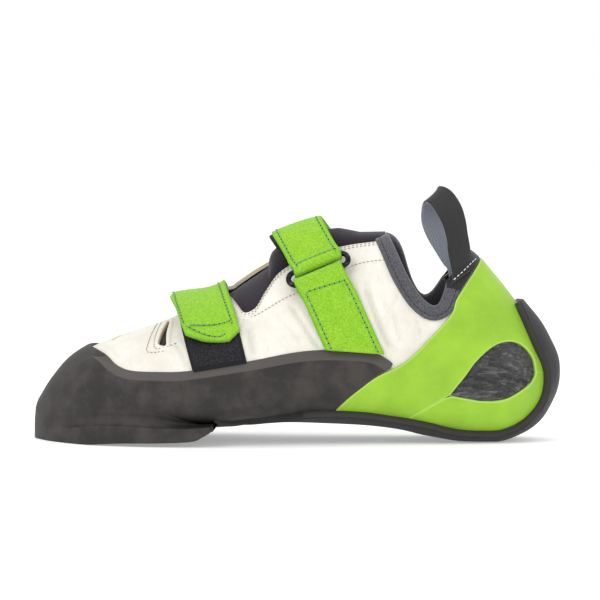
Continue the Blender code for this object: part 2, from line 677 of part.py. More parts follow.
def make_anchor(stage):
    """Short tape that holds the ring, from the rand's top edge up round the lower bar."""
    ends = ((RING_FRONT, ANCHOR_FRONT), (RING_REAR, ANCHOR_REAR))
    edges = []
    for ring_end, foot in ends:
        frame = ring_frame(ring_end)
        inner, outer = [], []
        for share in (0.0, 0.25, 0.5, 0.7):
            along = foot[0] + (ring_end[0] - foot[0]) * share
            height = foot[1] + (ring_end[1] - foot[1]) * share
            lift = TAPE / 2 + 3.5 * GAP
            inner.append(on_last(along, turn_at(along, height), lift))
            outer.append(on_last(along, turn_at(along, height), lift + TAPE + GAP))
        edges.append(inner + fold_path(frame, -1, 0.4 * RING_WIDTH)[1:] + outer[::-1])
    lines = [[a.lerp(b, share) for a, b in zip(*edges)] for share in (0, 0.25, 0.5, 0.75, 1)]
    return ribbon("strap_anchor", lines, TAPE, stage)


def make_ring(stage):
    """Oval wire ring between the two tapes."""
    front, rear = ring_frame(RING_FRONT), ring_frame(RING_REAR)
    normal = (front[1] + rear[1]).normalized()
    middle = (front[0] + rear[0]) / 2 + normal * ring_lift()
    length = (rear[0] + rear[1] * ring_lift() - front[0] - front[1] * ring_lift()).normalized()
    up = (front[2] + rear[2]).normalized()
    up = (up - length * up.dot(length)).normalized()
    straight, radius = (RING_LENGTH - RING_WIDTH) / 2, bar_height()
    line = bpy.data.curves.new("strap_ring", "CURVE")
    line.dimensions = "3D"
    line.bevel_depth = RING_WIRE / 2
    line.bevel_resolution = 2
    line.resolution_u = 1
    corners = 16
    spline = line.splines.new("POLY")
    spline.points.add(corners - 1)
    spline.use_cyclic_u = True
    for i in range(corners):
        angle = 2 * math.pi * (i + 0.5) / corners
        shift = straight * (1 if math.cos(angle) > 0 else -1)
        along, aside = shift + radius * math.cos(angle), radius * math.sin(angle)
        spot = middle + length * along + up * aside
        spline.points[i].co = (*spot, 1)
    wire = bpy.data.objects.new("ring_wire", line)
    stage["cutters"].objects.link(wire)
    bpy.context.view_layer.update()
    mesh = bpy.data.meshes.new_from_object(wire.evaluated_get(bpy.context.evaluated_depsgraph_get()))
    bpy.data.objects.remove(wire)
    ring = bpy.data.objects.new("strap_ring", mesh)
    stage["shoe"].objects.link(ring)
    return turned_out(ring)


def make_pull_loop(stage):
    """Webbing loop: sewn on outside the heel's rim, over the top and down inside."""
    lift = GAP + TAPE + 2 * GAP + LOOP_THICKNESS / 2
    inside = -(WALL + 5 * GAP + LOOP_THICKNESS / 2)
    edges = []
    for share in (0.0, 0.5, 1.0):
        foot = tuple(np.array(LOOP_FOOT[0]) * (1 - share) + np.array(LOOP_FOOT[1]) * share)
        top = tuple(np.array(LOOP_RIM[0]) * (1 - share) + np.array(LOOP_RIM[1]) * share)
        rim_point = on_last(top[0], turn_at(*top), lift)
        inward = (on_last(top[0], turn_at(*top), 0) - rim_point).normalized()
        inward = Vector((inward.x, inward.y, 0)).normalized()
        line = [on_last(foot[0], turn_at(*foot), lift), rim_point]
        for row in LOOP:
            values = dict(zip(LOOP_COLUMNS, row))
            aside = values["front_x"] * (1 - share) + values["rear_x"] * share
            rise = values["front_z"] * (1 - share) + values["rear_z"] * share
            line.append(rim_point + LOOP_SIZE * (Vector((aside, 0, rise)) + inward * values["inward"]))
        line += [on_last(top[0], turn_at(top[0], top[1] - 0.03), inside - 2 * GAP),
                 on_last(foot[0], turn_at(*foot), inside)]
        edges.append(line)
    return ribbon("pull_loop", edges, LOOP_THICKNESS, stage)


def finish(thing, name):
    """Gives a piece its own material."""
    colour, rough, metal = FINISHES[name]
    material = bpy.data.materials.new(thing.name + "_" + name)
    material.use_nodes = True
    shader = material.node_tree.nodes["Principled BSDF"]
    shader.inputs["Base Color"].default_value = (*colour, 1)
    shader.inputs["Roughness"].default_value = rough
    shader.inputs["Metallic"].default_value = metal
    thing.data.materials.clear()
    thing.data.materials.append(material)
    return thing


def centre(stage):
    """Moves the shoe so that its origin is under the middle of its box."""
    bpy.context.view_layer.update()
    graph = bpy.context.evaluated_depsgraph_get()
    corners = []
    for thing in stage["shoe"].objects:
        corners += [v.co for v in thing.evaluated_get(graph).data.vertices]
    low = Vector([min(c[i] for c in corners) for i in range(3)])
    high = Vector([max(c[i] for c in corners) for i in range(3)])
    move = Vector((-(low.x + high.x) / 2, -(low.y + high.y) / 2, -low.z))
    for collection in stage.values():
        for thing in collection.objects:
            thing.location += move


def main():
    for thing in list(bpy.data.objects):
        bpy.data.objects.remove(thing)
    stage = {}
    for name, title in (("shoe", "climbing_shoe"), ("cutters", "cutters")):
        stage[name] = bpy.data.collections.new(title)
        bpy.context.scene.collection.children.link(stage[name])
    finish(make_upper(stage), "white_leather")
    finish(make_insole(stage), "insole_cloth")
    finish(make_tongue(stage), "lining")
    finish(make_binding("lateral", COLLAR_LATERAL, stage), "felt")
    finish(make_binding("medial", COLLAR_MEDIAL, stage), "felt")
    rand, sling, cup = make_rubber(stage)
    finish(rand, "rand_rubber")
    finish(sling, "green_rubber")
    finish(cup, "green_rubber")
    for panel in make_window_panels(stage):
        finish(panel, "black_leather")
    for pad in make_side_pair("heel_pad", HEEL_PAD, TAPE, stage):
        finish(pad, "webbing")
    for sole in make_soles(stage):
        finish(sole, "sole_rubber")
    patch, tab = make_front_strap(stage)
    finish(patch, "loop_pile")
    finish(tab, "green_tape")
    finish(make_rear_strap(stage), "green_tape")
    finish(make_anchor(stage), "green_tape")
    finish(make_ring(stage), "gunmetal")
    finish(make_pull_loop(stage), "webbing")
    for cutter in stage["cutters"].objects:
        cutter.hide_render = True
        cutter.display_type = "WIRE"
    centre(stage)


main()
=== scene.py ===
# %% [markdown]
# # Dressing a climbing shoe
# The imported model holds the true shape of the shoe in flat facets. This lesson lays finished skins over
# it: leather, rubber, tape, felt and thread. Everything is built on one smooth surface, the last, which
# is the wooden foot that a shoemaker builds the shoe round.

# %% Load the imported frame
import math
import bpy
import numpy as np
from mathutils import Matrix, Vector


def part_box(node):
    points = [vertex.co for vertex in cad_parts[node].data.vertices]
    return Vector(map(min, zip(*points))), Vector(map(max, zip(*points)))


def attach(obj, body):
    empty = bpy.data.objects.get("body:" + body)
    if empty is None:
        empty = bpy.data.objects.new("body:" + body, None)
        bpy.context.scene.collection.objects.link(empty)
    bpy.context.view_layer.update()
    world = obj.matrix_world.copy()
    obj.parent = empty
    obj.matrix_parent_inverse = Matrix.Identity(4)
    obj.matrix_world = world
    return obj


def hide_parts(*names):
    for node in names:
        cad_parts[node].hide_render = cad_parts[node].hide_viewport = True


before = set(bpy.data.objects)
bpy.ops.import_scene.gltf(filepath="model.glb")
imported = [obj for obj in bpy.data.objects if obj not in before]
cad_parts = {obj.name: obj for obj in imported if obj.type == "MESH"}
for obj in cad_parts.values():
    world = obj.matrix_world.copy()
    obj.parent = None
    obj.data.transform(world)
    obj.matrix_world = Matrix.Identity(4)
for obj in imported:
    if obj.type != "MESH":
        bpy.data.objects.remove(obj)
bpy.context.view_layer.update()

MM = 0.001

# %% [markdown]
# ## The last
# A last is described by cross-sections. Each row below is one section, in shares of the shoe's length,
# ball width and instep height. "arch" and "floor" say how square the upper and lower half of the section
# are, "crown" which way its top leans.

# %% The last's table
LENGTH, BALL_WIDTH, INSTEP = 0.2549, 0.0893, 0.1025
WALL, GAP, RUBBER, SOLE_RUBBER, TAPE = 0.0020, 0.0003, 0.0018, 0.0033, 0.0015
LAST_COLUMNS = ("along", "bottom", "top", "lateral", "medial", "crown", "widest", "arch", "floor")
LAST = np.array((
    (0.000, 0.100, 0.140, 0.146, 0.235, 0.190, 0.45, 2.0, 2.2),
    (0.010, 0.092, 0.205, 0.050, 0.308, 0.180, 0.42, 2.1, 2.4),
    (0.032, 0.091, 0.290, -0.073, 0.364, 0.165, 0.40, 2.2, 2.7),
    (0.066, 0.100, 0.386, -0.196, 0.414, 0.150, 0.37, 2.2, 3.0),
    (0.110, 0.116, 0.454, -0.320, 0.452, 0.130, 0.34, 2.2, 3.2),
    (0.174, 0.118, 0.515, -0.409, 0.477, 0.110, 0.31, 2.1, 3.3),
    (0.253, 0.112, 0.585, -0.482, 0.489, 0.080, 0.28, 1.95, 3.4),
    (0.331, 0.112, 0.678, -0.511, 0.473, 0.055, 0.24, 1.8, 3.4),
    (0.410, 0.136, 0.808, -0.495, 0.428, 0.035, 0.21, 1.65, 3.3),
    (0.488, 0.153, 0.930, -0.450, 0.381, 0.020, 0.20, 1.65, 3.2),
    (0.566, 0.146, 0.990, -0.405, 0.354, 0.010, 0.20, 1.85, 3.2),
    (0.645, 0.134, 1.010, -0.370, 0.343, 0.000, 0.21, 2.3, 3.2),
    (0.712, 0.112, 1.018, -0.356, 0.340, 0.000, 0.24, 2.8, 3.2),
    (0.763, 0.082, 0.985, -0.349, 0.340, 0.000, 0.27, 3.0, 3.2),
    (0.841, 0.053, 0.917, -0.338, 0.336, 0.000, 0.31, 2.9, 3.2),
    (0.892, 0.051, 0.785, -0.320, 0.318, 0.000, 0.35, 2.5, 3.1),
    (0.937, 0.084, 0.641, -0.269, 0.267, 0.000, 0.40, 2.2, 2.9),
    (0.967, 0.133, 0.549, -0.202, 0.202, 0.000, 0.44, 2.1, 2.6),
    (0.988, 0.214, 0.454, -0.123, 0.123, 0.000, 0.48, 2.0, 2.3),
    (1.000, 0.320, 0.358, -0.022, 0.022, 0.000, 0.50, 2.0, 2.0),
))


def smooth(places, values, wanted):
    """Cubic curve through the values that does not swing past them."""
    places, values, wanted = (np.asarray(v, dtype=float) for v in (places, values, wanted))
    steps = np.diff(places)
    slopes = np.diff(values) / steps
    tangents = np.concatenate(([slopes[0]], np.zeros(len(slopes) - 1), [slopes[-1]]))
    for i in range(1, len(slopes)):
        if slopes[i - 1] * slopes[i] > 0:
            first, second = 2 * steps[i] + steps[i - 1], steps[i] + 2 * steps[i - 1]
            tangents[i] = (first + second) / (first / slopes[i - 1] + second / slopes[i])
    i = np.clip(np.searchsorted(places, wanted) - 1, 0, len(slopes) - 1)
    t = np.clip((wanted - places[i]) / steps[i], 0, 1)
    return (
        values[i] * (1 + 2 * t) * (1 - t) ** 2
        + values[i + 1] * t * t * (3 - 2 * t)
        + steps[i] * t * (1 - t) * (tangents[i] * (1 - t) - tangents[i + 1] * t)
    )


def eased(along):
    """Spreads the two ends of the last, where its sections change fastest."""
    return np.arccos(np.clip(1 - 2 * np.asarray(along, dtype=float), -1, 1)) / math.pi


def section(along, count):
    """One closed section of the last: count points from the crown round the lateral side."""
    row = {
        name: float(smooth(eased(LAST[:, 0]), LAST[:, k], eased(along)))
        for k, name in enumerate(LAST_COLUMNS) if k
    }
    angle = np.linspace(0, 2 * math.pi, 721)
    across, up = -np.sin(angle), np.cos(angle)
    middle = (row["lateral"] + row["medial"]) / 2 * BALL_WIDTH
    half = (row["medial"] - row["lateral"]) / 2 * BALL_WIDTH
    bottom, top = row["bottom"] * INSTEP, row["top"] * INSTEP
    widest = bottom + row["widest"] * (top - bottom)
    exponent = 2 / np.where(up > 0, row["arch"], row["floor"])
    z = widest + np.where(up > 0, top - widest, widest - bottom) * np.sign(up) * np.abs(up) ** exponent
    lean = (row["crown"] * BALL_WIDTH - middle) * np.clip(up, 0, 1) ** 1.5
    y = middle + lean + half * np.sign(across) * np.abs(across) ** exponent
    length = np.concatenate(([0], np.cumsum(np.hypot(np.diff(y), np.diff(z)))))
    wanted = np.linspace(0, length[-1], count, endpoint=False)
    return np.interp(wanted, length, y), np.interp(wanted, length, z)


# %% [markdown]
# ## A fine grid over the last
# One grid of points and outward normals serves every piece. Rows run from toe to heel, columns go once
# round from the crown over the lateral (outer) side, the sole and the medial (inner) side. The toe and
# heel tips are closed with a few shrinking rings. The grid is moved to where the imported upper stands.

# %% Build the grid
ROWS, COLUMNS, TIP_RINGS = 250, 256, 3


def unit(vectors):
    """The same directions, one long."""
    return vectors / np.maximum(np.linalg.norm(vectors, axis=-1, keepdims=True), 1e-12)


def last_grid():
    """Points, outward normals and place along the last, one row for each section."""
    along = (1 - np.cos(np.linspace(0, math.pi, ROWS))) / 2
    points = np.empty((ROWS, COLUMNS, 3))
    for i, place in enumerate(along):
        points[i, :, 0] = (place - 0.5) * LENGTH
        points[i, :, 1], points[i, :, 2] = section(place, COLUMNS)
    forward = np.gradient(points, axis=0)
    around = np.roll(points, -1, axis=1) - np.roll(points, 1, axis=1)
    normals = unit(np.cross(around, forward))
    front, back = [], []
    for rings, edge, sign in ((front, 0, -1), (back, -1, 1)):
        centre = points[edge].mean(axis=0)
        for k in range(1, TIP_RINGS + 1):
            rings.append(centre + (points[edge] - centre) * (1 - k / TIP_RINGS))
    flat = np.zeros((TIP_RINGS, COLUMNS, 3))
    flat[:, :, 0] = 1
    points = np.concatenate((np.array(front)[::-1], points, np.array(back)))
    normals = np.concatenate((-flat, normals, flat))
    return points, normals, np.concatenate((np.zeros(TIP_RINGS), along, np.ones(TIP_RINGS)))


POINTS, NORMALS, ALONG = last_grid()
upper_box, sole_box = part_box("upper"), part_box("outsole_front")
SHIFT = np.array((
    upper_box[0][0] + LENGTH / 2,
    (upper_box[0][1] + upper_box[1][1] - POINTS[:, :, 1].min() - POINTS[:, :, 1].max()) / 2,
    sole_box[0][2],
))
POINTS += SHIFT
girth_steps = np.linalg.norm(np.roll(POINTS, -1, axis=1) - POINTS, axis=2)
GIRTH = girth_steps.sum(axis=1)
LATERAL = np.broadcast_to(np.arange(COLUMNS) < COLUMNS / 2, POINTS.shape[:2])
print("grid:", POINTS.shape, "shift mm:", np.round(SHIFT / MM, 2))

# %% [markdown]
# ## Finding places on the last
# Outlines were drawn on the side view, so most places are given as (share of length, share of height).
# "turn" counts once round a section: 0 is the crown, 0.5 the middle of the sole, and minus values go
# round the medial side. Each finder takes whole arrays, which is much faster than one point at a time.

# %% Places round a section
def on_last(along, turn, lift=0.0):
    """Points off the last, in metres."""
    along, turn, lift = np.broadcast_arrays(*(np.asarray(v, dtype=float) for v in (along, turn, lift)))
    row = np.clip(eased(along) * (ROWS - 1), 0, ROWS - 1.0001) + TIP_RINGS
    side = (turn % 1.0) * COLUMNS
    i, j = row.astype(int), side.astype(int) % COLUMNS
    s, t = (row - i)[..., None], (side - np.floor(side))[..., None]
    k, l = i + 1, (j + 1) % COLUMNS
    out = []
    for grid in (POINTS, NORMALS):
        out.append(
            grid[i, j] * (1 - s) * (1 - t) + grid[k, j] * s * (1 - t)
            + grid[i, l] * (1 - s) * t + grid[k, l] * s * t
        )
    normal = unit(out[1])
    return out[0] + normal * lift[..., None], normal


SIDE_REACH = 0.42


def turn_at(along, height, medial=False):
    """Turns where the last's side has these heights, as shares of INSTEP, looked for down to SIDE_REACH."""
    along, height = np.broadcast_arrays(np.asarray(along, dtype=float), np.asarray(height, dtype=float))
    found = np.empty(along.shape)
    reach = int(SIDE_REACH * COLUMNS)
    for spot, (place, rise) in enumerate(zip(along.ravel(), height.ravel())):
        row = np.clip(eased(place) * (ROWS - 1), 0, ROWS - 1.001) + TIP_RINGS
        i = int(row)
        z = POINTS[i, :, 2] * (1 - row + i) + POINTS[i + 1, :, 2] * (row - i) - SHIFT[2]
        half = z[:reach] if not medial else np.concatenate((z[:1], z[:-reach:-1]))
        found.ravel()[spot] = np.interp(-rise * INSTEP, -half, np.arange(len(half)) / COLUMNS)
    return -found if medial else found


def on_side(line, lift=0.0, medial=False):
    """Points and normals where a side-view line meets the shoe."""
    line = np.asarray(line, dtype=float)
    return on_last(line[:, 0], turn_at(line[:, 0], line[:, 1], medial), lift)


# %% Lines on the side view
TOE_TO_ZERO = 0.1294


def curve(points, steps=4):
    """Smooth line through a table's points, any number of columns."""
    points = np.asarray(points, dtype=float)
    ends = np.vstack((2 * points[0] - points[1], points, 2 * points[-1] - points[-2]))
    line = []
    for a, b, c, d in zip(ends, ends[1:], ends[2:], ends[3:]):
        for t in np.arange(steps) / steps:
            line.append(
                (2 * b + (c - a) * t + (2 * a - 5 * b + 4 * c - d) * t * t
                 + (3 * b - a - 3 * c + d) * t ** 3) / 2
            )
    return np.array(line + [points[-1]])


def from_photo(*pairs):
    """Side-view shares from millimetres along and above the floor, zero under the shoe's middle."""
    pairs = np.array(pairs, dtype=float) * MM
    return np.column_stack(((pairs[:, 0] + TOE_TO_ZERO) / LENGTH, pairs[:, 1] / INSTEP))


def to_metres(line):
    """Side-view shares to metres in the shoe's frame."""
    line = np.asarray(line, dtype=float)
    return np.column_stack(((line[:, 0] - 0.5) * LENGTH + SHIFT[0], line[:, 1] * INSTEP + SHIFT[2]))


def along_of(x):
    """Share of the length at which x lies."""
    return (x - SHIFT[0]) / LENGTH + 0.5


def to_shares(spots):
    """Metres in the side view, (x, z), to side-view shares."""
    return np.column_stack((along_of(spots[:, 0]), (spots[:, 1] - SHIFT[2]) / INSTEP))


def shifted(line, distance):
    """The side-view line moved sideways, to its left as it runs."""
    spots = to_metres(line)
    ahead = unit(np.gradient(spots, axis=0))
    return to_shares(spots + np.column_stack((-ahead[:, 1], ahead[:, 0])) * distance)


# %% [markdown]
# ## Distance fields
# Each piece covers a region of the last, and its edge has to be rounded, bevelled or stitched at a true
# distance from the border. So every region becomes a field: millimetres inside its outline (plus) or
# outside (minus), for each point of the grid. A side-view distance is too short where the surface turns
# away from the viewer, so it is divided by how much of the surface the viewer sees there.

# %% Field of a region
FAR = 14.0


def region(outline, side=None, lift=0.0):
    """Millimetres inside a closed side-view outline, over the grid lifted by some millimetres."""
    ring = to_metres(outline)
    raised = POINTS + NORMALS * (lift * MM)
    x, z = raised[:, :, 0], raised[:, :, 2]
    best = np.full(x.shape, FAR * MM)
    toward = np.zeros(x.shape + (2,))
    inside = np.zeros(x.shape, dtype=bool)
    row_low, row_high = x.min(axis=1), x.max(axis=1)
    for p, q in zip(ring, np.roll(ring, -1, axis=0)):
        low, high = sorted((p[0], q[0]))
        rows = (row_high > low - FAR * MM) & (row_low < high + FAR * MM)
        if not rows.any():
            continue
        first, end = rows.argmax(), len(rows) - rows[::-1].argmax()
        sub_x, sub_z = x[first:end], z[first:end]
        step = q - p
        t = np.clip(((sub_x - p[0]) * step[0] + (sub_z - p[1]) * step[1]) / max(step @ step, 1e-12), 0, 1)
        gap_x, gap_z = sub_x - p[0] - t * step[0], sub_z - p[1] - t * step[1]
        distance = np.hypot(gap_x, gap_z)
        closer = distance < best[first:end]
        best[first:end][closer] = distance[closer]
        toward[first:end][closer] = np.stack((gap_x, gap_z), axis=-1)[closer]
        spans = (sub_x >= low) & (sub_x < high)
        line_z = p[1] + (sub_x - p[0]) * step[1] / (step[0] if abs(step[0]) > 1e-12 else 1e-12)
        inside[first:end] ^= spans & (sub_z < line_z)
    length = np.maximum(np.linalg.norm(toward, axis=-1, keepdims=True), 1e-9)
    pull = toward / length
    seen = pull[..., 0] * NORMALS[:, :, 0] + pull[..., 1] * NORMALS[:, :, 2]
    true = best / np.maximum(np.sqrt(np.clip(1 - seen ** 2, 0, 1)), 0.3)
    field = np.where(inside, true, -true) / MM
    if side == "lateral":
        field = np.where(LATERAL, field, -FAR)
    if side == "medial":
        field = np.where(LATERAL, -FAR, field)
    return field


def two_sided(lateral, medial, lift=0.0):
    """One field from a lateral and a medial outline."""
    return np.where(LATERAL, region(lateral, lift=lift), region(medial, lift=lift))


# %% Distance and softness
def near_line(spots):
    """Millimetres from each grid point to a line of points on the shoe."""
    spots = np.asarray(spots)
    best = np.full(POINTS.shape[:2], FAR * MM)
    row_x = POINTS[:, :, 0].mean(axis=1)
    for p, q in zip(spots, spots[1:]):
        low, high = sorted((p[0], q[0]))
        rows = (row_x > low - FAR * MM) & (row_x < high + FAR * MM)
        if not rows.any():
            continue
        first, end = rows.argmax(), len(rows) - rows[::-1].argmax()
        sub = POINTS[first:end]
        step = q - p
        t = np.clip(((sub - p) @ step) / max(step @ step, 1e-12), 0, 1)[..., None]
        distance = np.linalg.norm(sub - p - t * step, axis=-1)
        best[first:end] = np.minimum(best[first:end], distance)
    return best / MM


def bell(distance, width):
    """1 on the line, falling softly to 0."""
    return np.exp(-(distance / width) ** 2)


def step_up(value, start, end):
    """0 before start, 1 after end, smooth between."""
    t = np.clip((value - start) / (end - start), 0, 1)
    return t * t * (3 - 2 * t)


def rounded(edge, thickness, radius):
    """Height of a sheet with a quarter-round edge."""
    inner = np.clip(radius - edge, 0, radius)
    return thickness - radius + np.sqrt(np.maximum(radius ** 2 - inner ** 2, 0))


# %% [markdown]
# ## Cutting a piece out of the grid
# A piece starts as the grid's triangles where its field is positive. Triangles that the border crosses
# are split exactly on it, and again on a few lines just inside it, so that the edge has points to bend
# on. Every column of numbers that belongs to a point is shared out along the cut edge as well.

# %% Cut and lift
def split(data, faces, values, snap=0.04):
    """Splits the triangles that the zero line of a value crosses."""
    sign = np.where(np.abs(values) < snap, 0, np.sign(values)).astype(int)
    corners = sign[faces]
    crossed = (corners.min(axis=1) < 0) & (corners.max(axis=1) > 0)
    made, extra, known = [], [], {}
    for tri in faces[crossed].tolist():
        above, below = [], []
        for a, b in zip(tri, tri[1:] + tri[:1]):
            if sign[a] >= 0:
                above.append(a)
            if sign[a] <= 0:
                below.append(a)
            if sign[a] * sign[b] < 0:
                key = (min(a, b), max(a, b))
                if key not in known:
                    share = values[key[0]] / (values[key[0]] - values[key[1]])
                    known[key] = len(data) + len(extra)
                    extra.append(data[key[0]] * (1 - share) + data[key[1]] * share)
                above.append(known[key])
                below.append(known[key])
        for ring in (above, below):
            made += [(ring[0], ring[k], ring[k + 1]) for k in range(1, len(ring) - 1)]
    if extra:
        data = np.vstack((data, extra))
        faces = np.vstack((faces[~crossed], made))
    return data, faces


def cut_piece(edge, levels, fields=None):
    """The part of the grid where edge > 0, as named columns and triangles."""
    fields = fields or {}
    names = ["edge"] + list(fields)
    data = np.concatenate(
        [POINTS.reshape(-1, 3), NORMALS.reshape(-1, 3)]
        + [np.broadcast_to(f, edge.shape).reshape(-1, 1) for f in [edge] + list(fields.values())], axis=1
    )
    rows = len(POINTS)
    i, j = np.meshgrid(np.arange(rows - 1), np.arange(COLUMNS), indexing="ij")
    k = (j + 1) % COLUMNS
    a, b, c, d = i * COLUMNS + j, (i + 1) * COLUMNS + j, (i + 1) * COLUMNS + k, i * COLUMNS + k
    quads = np.stack((a, d, c, b), axis=-1).reshape(-1, 4)
    quads = quads[(edge.ravel()[quads] > 0).any(axis=1)]
    faces = np.concatenate((quads[:, (0, 1, 2)], quads[:, (0, 2, 3)]))
    for level in (0.0,) + tuple(levels):
        data, faces = split(data, faces, data[:, 6] - level)
        if level == 0.0:
            faces = faces[(data[faces][:, :, 6].mean(axis=1) > 0)]
    used, flat = np.unique(faces, return_inverse=True)
    data, faces = data[used], flat.reshape(faces.shape)
    data[:, 3:6] = unit(data[:, 3:6])
    return {"at": data[:, :3], "normal": data[:, 3:6],
            **{name: data[:, 6 + n] for n, name in enumerate(names)}}, faces


# %% [markdown]
# Holes and folds are finer than the grid. They are measured on a piece's own points, after its
# triangles have been split into four where the detail lies.

# %% Detail on a cut piece
def outline_edge(data, outline):
    """Millimetres inside a side-view outline for each point of a cut piece."""
    ring = to_metres(outline)
    spots, x, z = data["at"][:, (0, 2)], data["at"][:, 0], data["at"][:, 2]
    best, inside = np.full(len(spots), FAR * MM), np.zeros(len(spots), dtype=bool)
    for p, q in zip(ring, np.roll(ring, -1, axis=0)):
        step = q - p
        t = np.clip(((spots - p) @ step) / max(step @ step, 1e-12), 0, 1)[:, None]
        best = np.minimum(best, np.linalg.norm(spots - p - t * step, axis=1))
        low, high = sorted((p[0], q[0]))
        line_z = p[1] + (x - p[0]) * step[1] / (step[0] if abs(step[0]) > 1e-12 else 1e-12)
        inside ^= (x >= low) & (x < high) & (z < line_z)
    return np.where(inside, best, -best) / MM


def to_line(at, spots):
    """Millimetres from points to a line of points in space."""
    best = np.full(len(at), FAR * MM)
    for p, q in zip(spots, spots[1:]):
        step = q - p
        t = np.clip(((at - p) @ step) / max(step @ step, 1e-12), 0, 1)[:, None]
        best = np.minimum(best, np.linalg.norm(at - p - t * step, axis=1))
    return best / MM


def refine(cut, chosen):
    """Splits the chosen triangles of a cut piece into four."""
    data, faces = cut
    names = list(data)
    table = np.column_stack([data[name] for name in names])
    chosen = np.broadcast_to(chosen, len(faces))
    faces_kept, tris = faces[~chosen], faces[chosen]
    edges = np.sort(np.concatenate((tris[:, (0, 1)], tris[:, (1, 2)], tris[:, (2, 0)])), axis=1)
    unique, back = np.unique(edges, axis=0, return_inverse=True)
    back = back.reshape(3, -1) + len(table)
    table = np.vstack((table, (table[unique[:, 0]] + table[unique[:, 1]]) / 2))
    a, b, c = tris.T
    ab, bc, ca = back
    made = np.concatenate([np.column_stack(t) for t in ((a, ab, ca), (ab, b, bc), (ca, bc, c), (ab, bc, ca))])
    out, k = {}, 0
    for name in names:
        wide = 3 if name in ("at", "normal") else 1
        out[name] = table[:, k:k + wide] if wide == 3 else table[:, k]
        k += wide
    out["normal"] = unit(out["normal"])
    return out, np.vstack((faces_kept, made))


def creases(at, lines, medial=False):
    """Soft folds: for each line of (x, z) in millimetres, a trough with a low ridge on both sides."""
    change = np.zeros(len(at))
    for width, depth, pairs in lines:
        spots = on_side(curve(from_photo(*pairs), 5), 0.0, medial)[0]
        gap = to_line(at, spots)
        ends = np.minimum(np.linalg.norm(at - spots[0], axis=1), np.linalg.norm(at - spots[-1], axis=1)) / MM
        fade = step_up(ends, 0.0, 2.5 * width)
        change += (-depth * bell(gap, width) + 0.45 * depth * bell(gap - 1.9 * width, width)) * fade
    return change


# %% From a cut piece to a mesh
def border_edges(faces):
    """Edges that only one triangle uses, in the direction that it uses them."""
    edges = np.concatenate((faces[:, (0, 1)], faces[:, (1, 2)], faces[:, (2, 0)]))
    key = np.sort(edges, axis=1)
    _, index, counts = np.unique(key, axis=0, return_index=True, return_counts=True)
    return edges[index[counts == 1]]


def mesh_piece(name, verts, faces, attributes=None):
    """A smooth-shaded mesh object with optional per-point numbers."""
    mesh = bpy.data.meshes.new(name)
    mesh.from_pydata([tuple(v) for v in verts], [], [tuple(int(i) for i in f) for f in faces])
    for key, values in (attributes or {}).items():
        mesh.attributes.new(key, "FLOAT", "POINT").data.foreach_set("value", np.asarray(values, dtype=float))
    mesh.validate()
    mesh.update()
    mesh.polygons.foreach_set("use_smooth", [True] * len(mesh.polygons))
    thing = bpy.data.objects.new(name, mesh)
    bpy.context.scene.collection.objects.link(thing)
    return thing


def raise_piece(name, cut, top, floor, closed=False):
    """Lifts a cut piece off the last: its face at top, a wall at its border down to floor, in mm."""
    data, faces = cut
    top = np.broadcast_to(top, len(data["edge"]))
    floor = np.broadcast_to(floor, len(data["edge"]))
    outer = data["at"] + data["normal"] * (top * MM)[:, None]
    inner = data["at"] + data["normal"] * (floor * MM)[:, None]
    count = len(outer)
    rim = border_edges(faces)
    extra = {key: values for key, values in data.items() if key not in ("at", "normal")}
    extra["run"], extra["cross"] = data["at"][:, 0] / MM, data["at"][:, 2] / MM
    if closed:
        verts = np.vstack((outer, inner))
        walls = np.column_stack((rim[:, 1], rim[:, 0], rim[:, 0] + count, rim[:, 1] + count))
        every = [tuple(f) for f in np.vstack((faces, faces[:, ::-1] + count))] + [tuple(w) for w in walls]
        numbers = {key: np.concatenate((values, values)) for key, values in extra.items()}
    else:
        used, flat = np.unique(rim, return_inverse=True)
        low = flat.reshape(rim.shape) + count
        verts = np.vstack((outer, inner[used]))
        walls = np.column_stack((rim[:, 1], rim[:, 0], low[:, 0], low[:, 1]))
        every = [tuple(f) for f in faces] + [tuple(w) for w in walls]
        numbers = {key: np.concatenate((values, values[used])) for key, values in extra.items()}
    return mesh_piece(name, verts, every, numbers)


# %% [markdown]
# ## Outlines on the side view
# These are the borders of the pieces, the same ones that the solids were cut with, as shares of the
# length and of the instep's height.

# %% Outline tables
THROAT = np.array((
    (0.351, 0.745, 0.755), (0.379, 0.704, 0.742), (0.392, 0.672, 0.765), (0.408, 0.632, 0.793),
    (0.426, 0.652, 0.824), (0.444, 0.722, 0.850), (0.472, 0.817, 0.888), (0.500, 0.863, 0.915),
    (0.539, 0.905, 0.945), (0.593, 0.945, 0.973), (0.640, 0.965, 0.984), (0.705, 0.980, 0.990),
))
COLLAR_LATERAL = (
    (0.686, 0.985), (0.691, 0.960), (0.700, 0.909), (0.713, 0.834), (0.726, 0.774),
    (0.741, 0.718), (0.756, 0.680), (0.771, 0.658), (0.783, 0.668), (0.792, 0.710),
    (0.800, 0.775), (0.821, 0.828),
)
COLLAR_MEDIAL = (
    (0.688, 0.995), (0.698, 0.985), (0.708, 0.950), (0.716, 0.900), (0.724, 0.830),
    (0.734, 0.762), (0.748, 0.702), (0.763, 0.684), (0.778, 0.708), (0.790, 0.750),
    (0.800, 0.790), (0.821, 0.828),
)
COLLAR_BACK = ((0.845, 0.868), (0.872, 0.900))
RAND_TOP = (
    (0.060, 0.400), (0.083, 0.442), (0.098, 0.452), (0.113, 0.450), (0.138, 0.426),
    (0.160, 0.388), (0.188, 0.365), (0.241, 0.362), (0.298, 0.368), (0.412, 0.412),
    (0.522, 0.458), (0.617, 0.459), (0.665, 0.438), (0.702, 0.380),
)
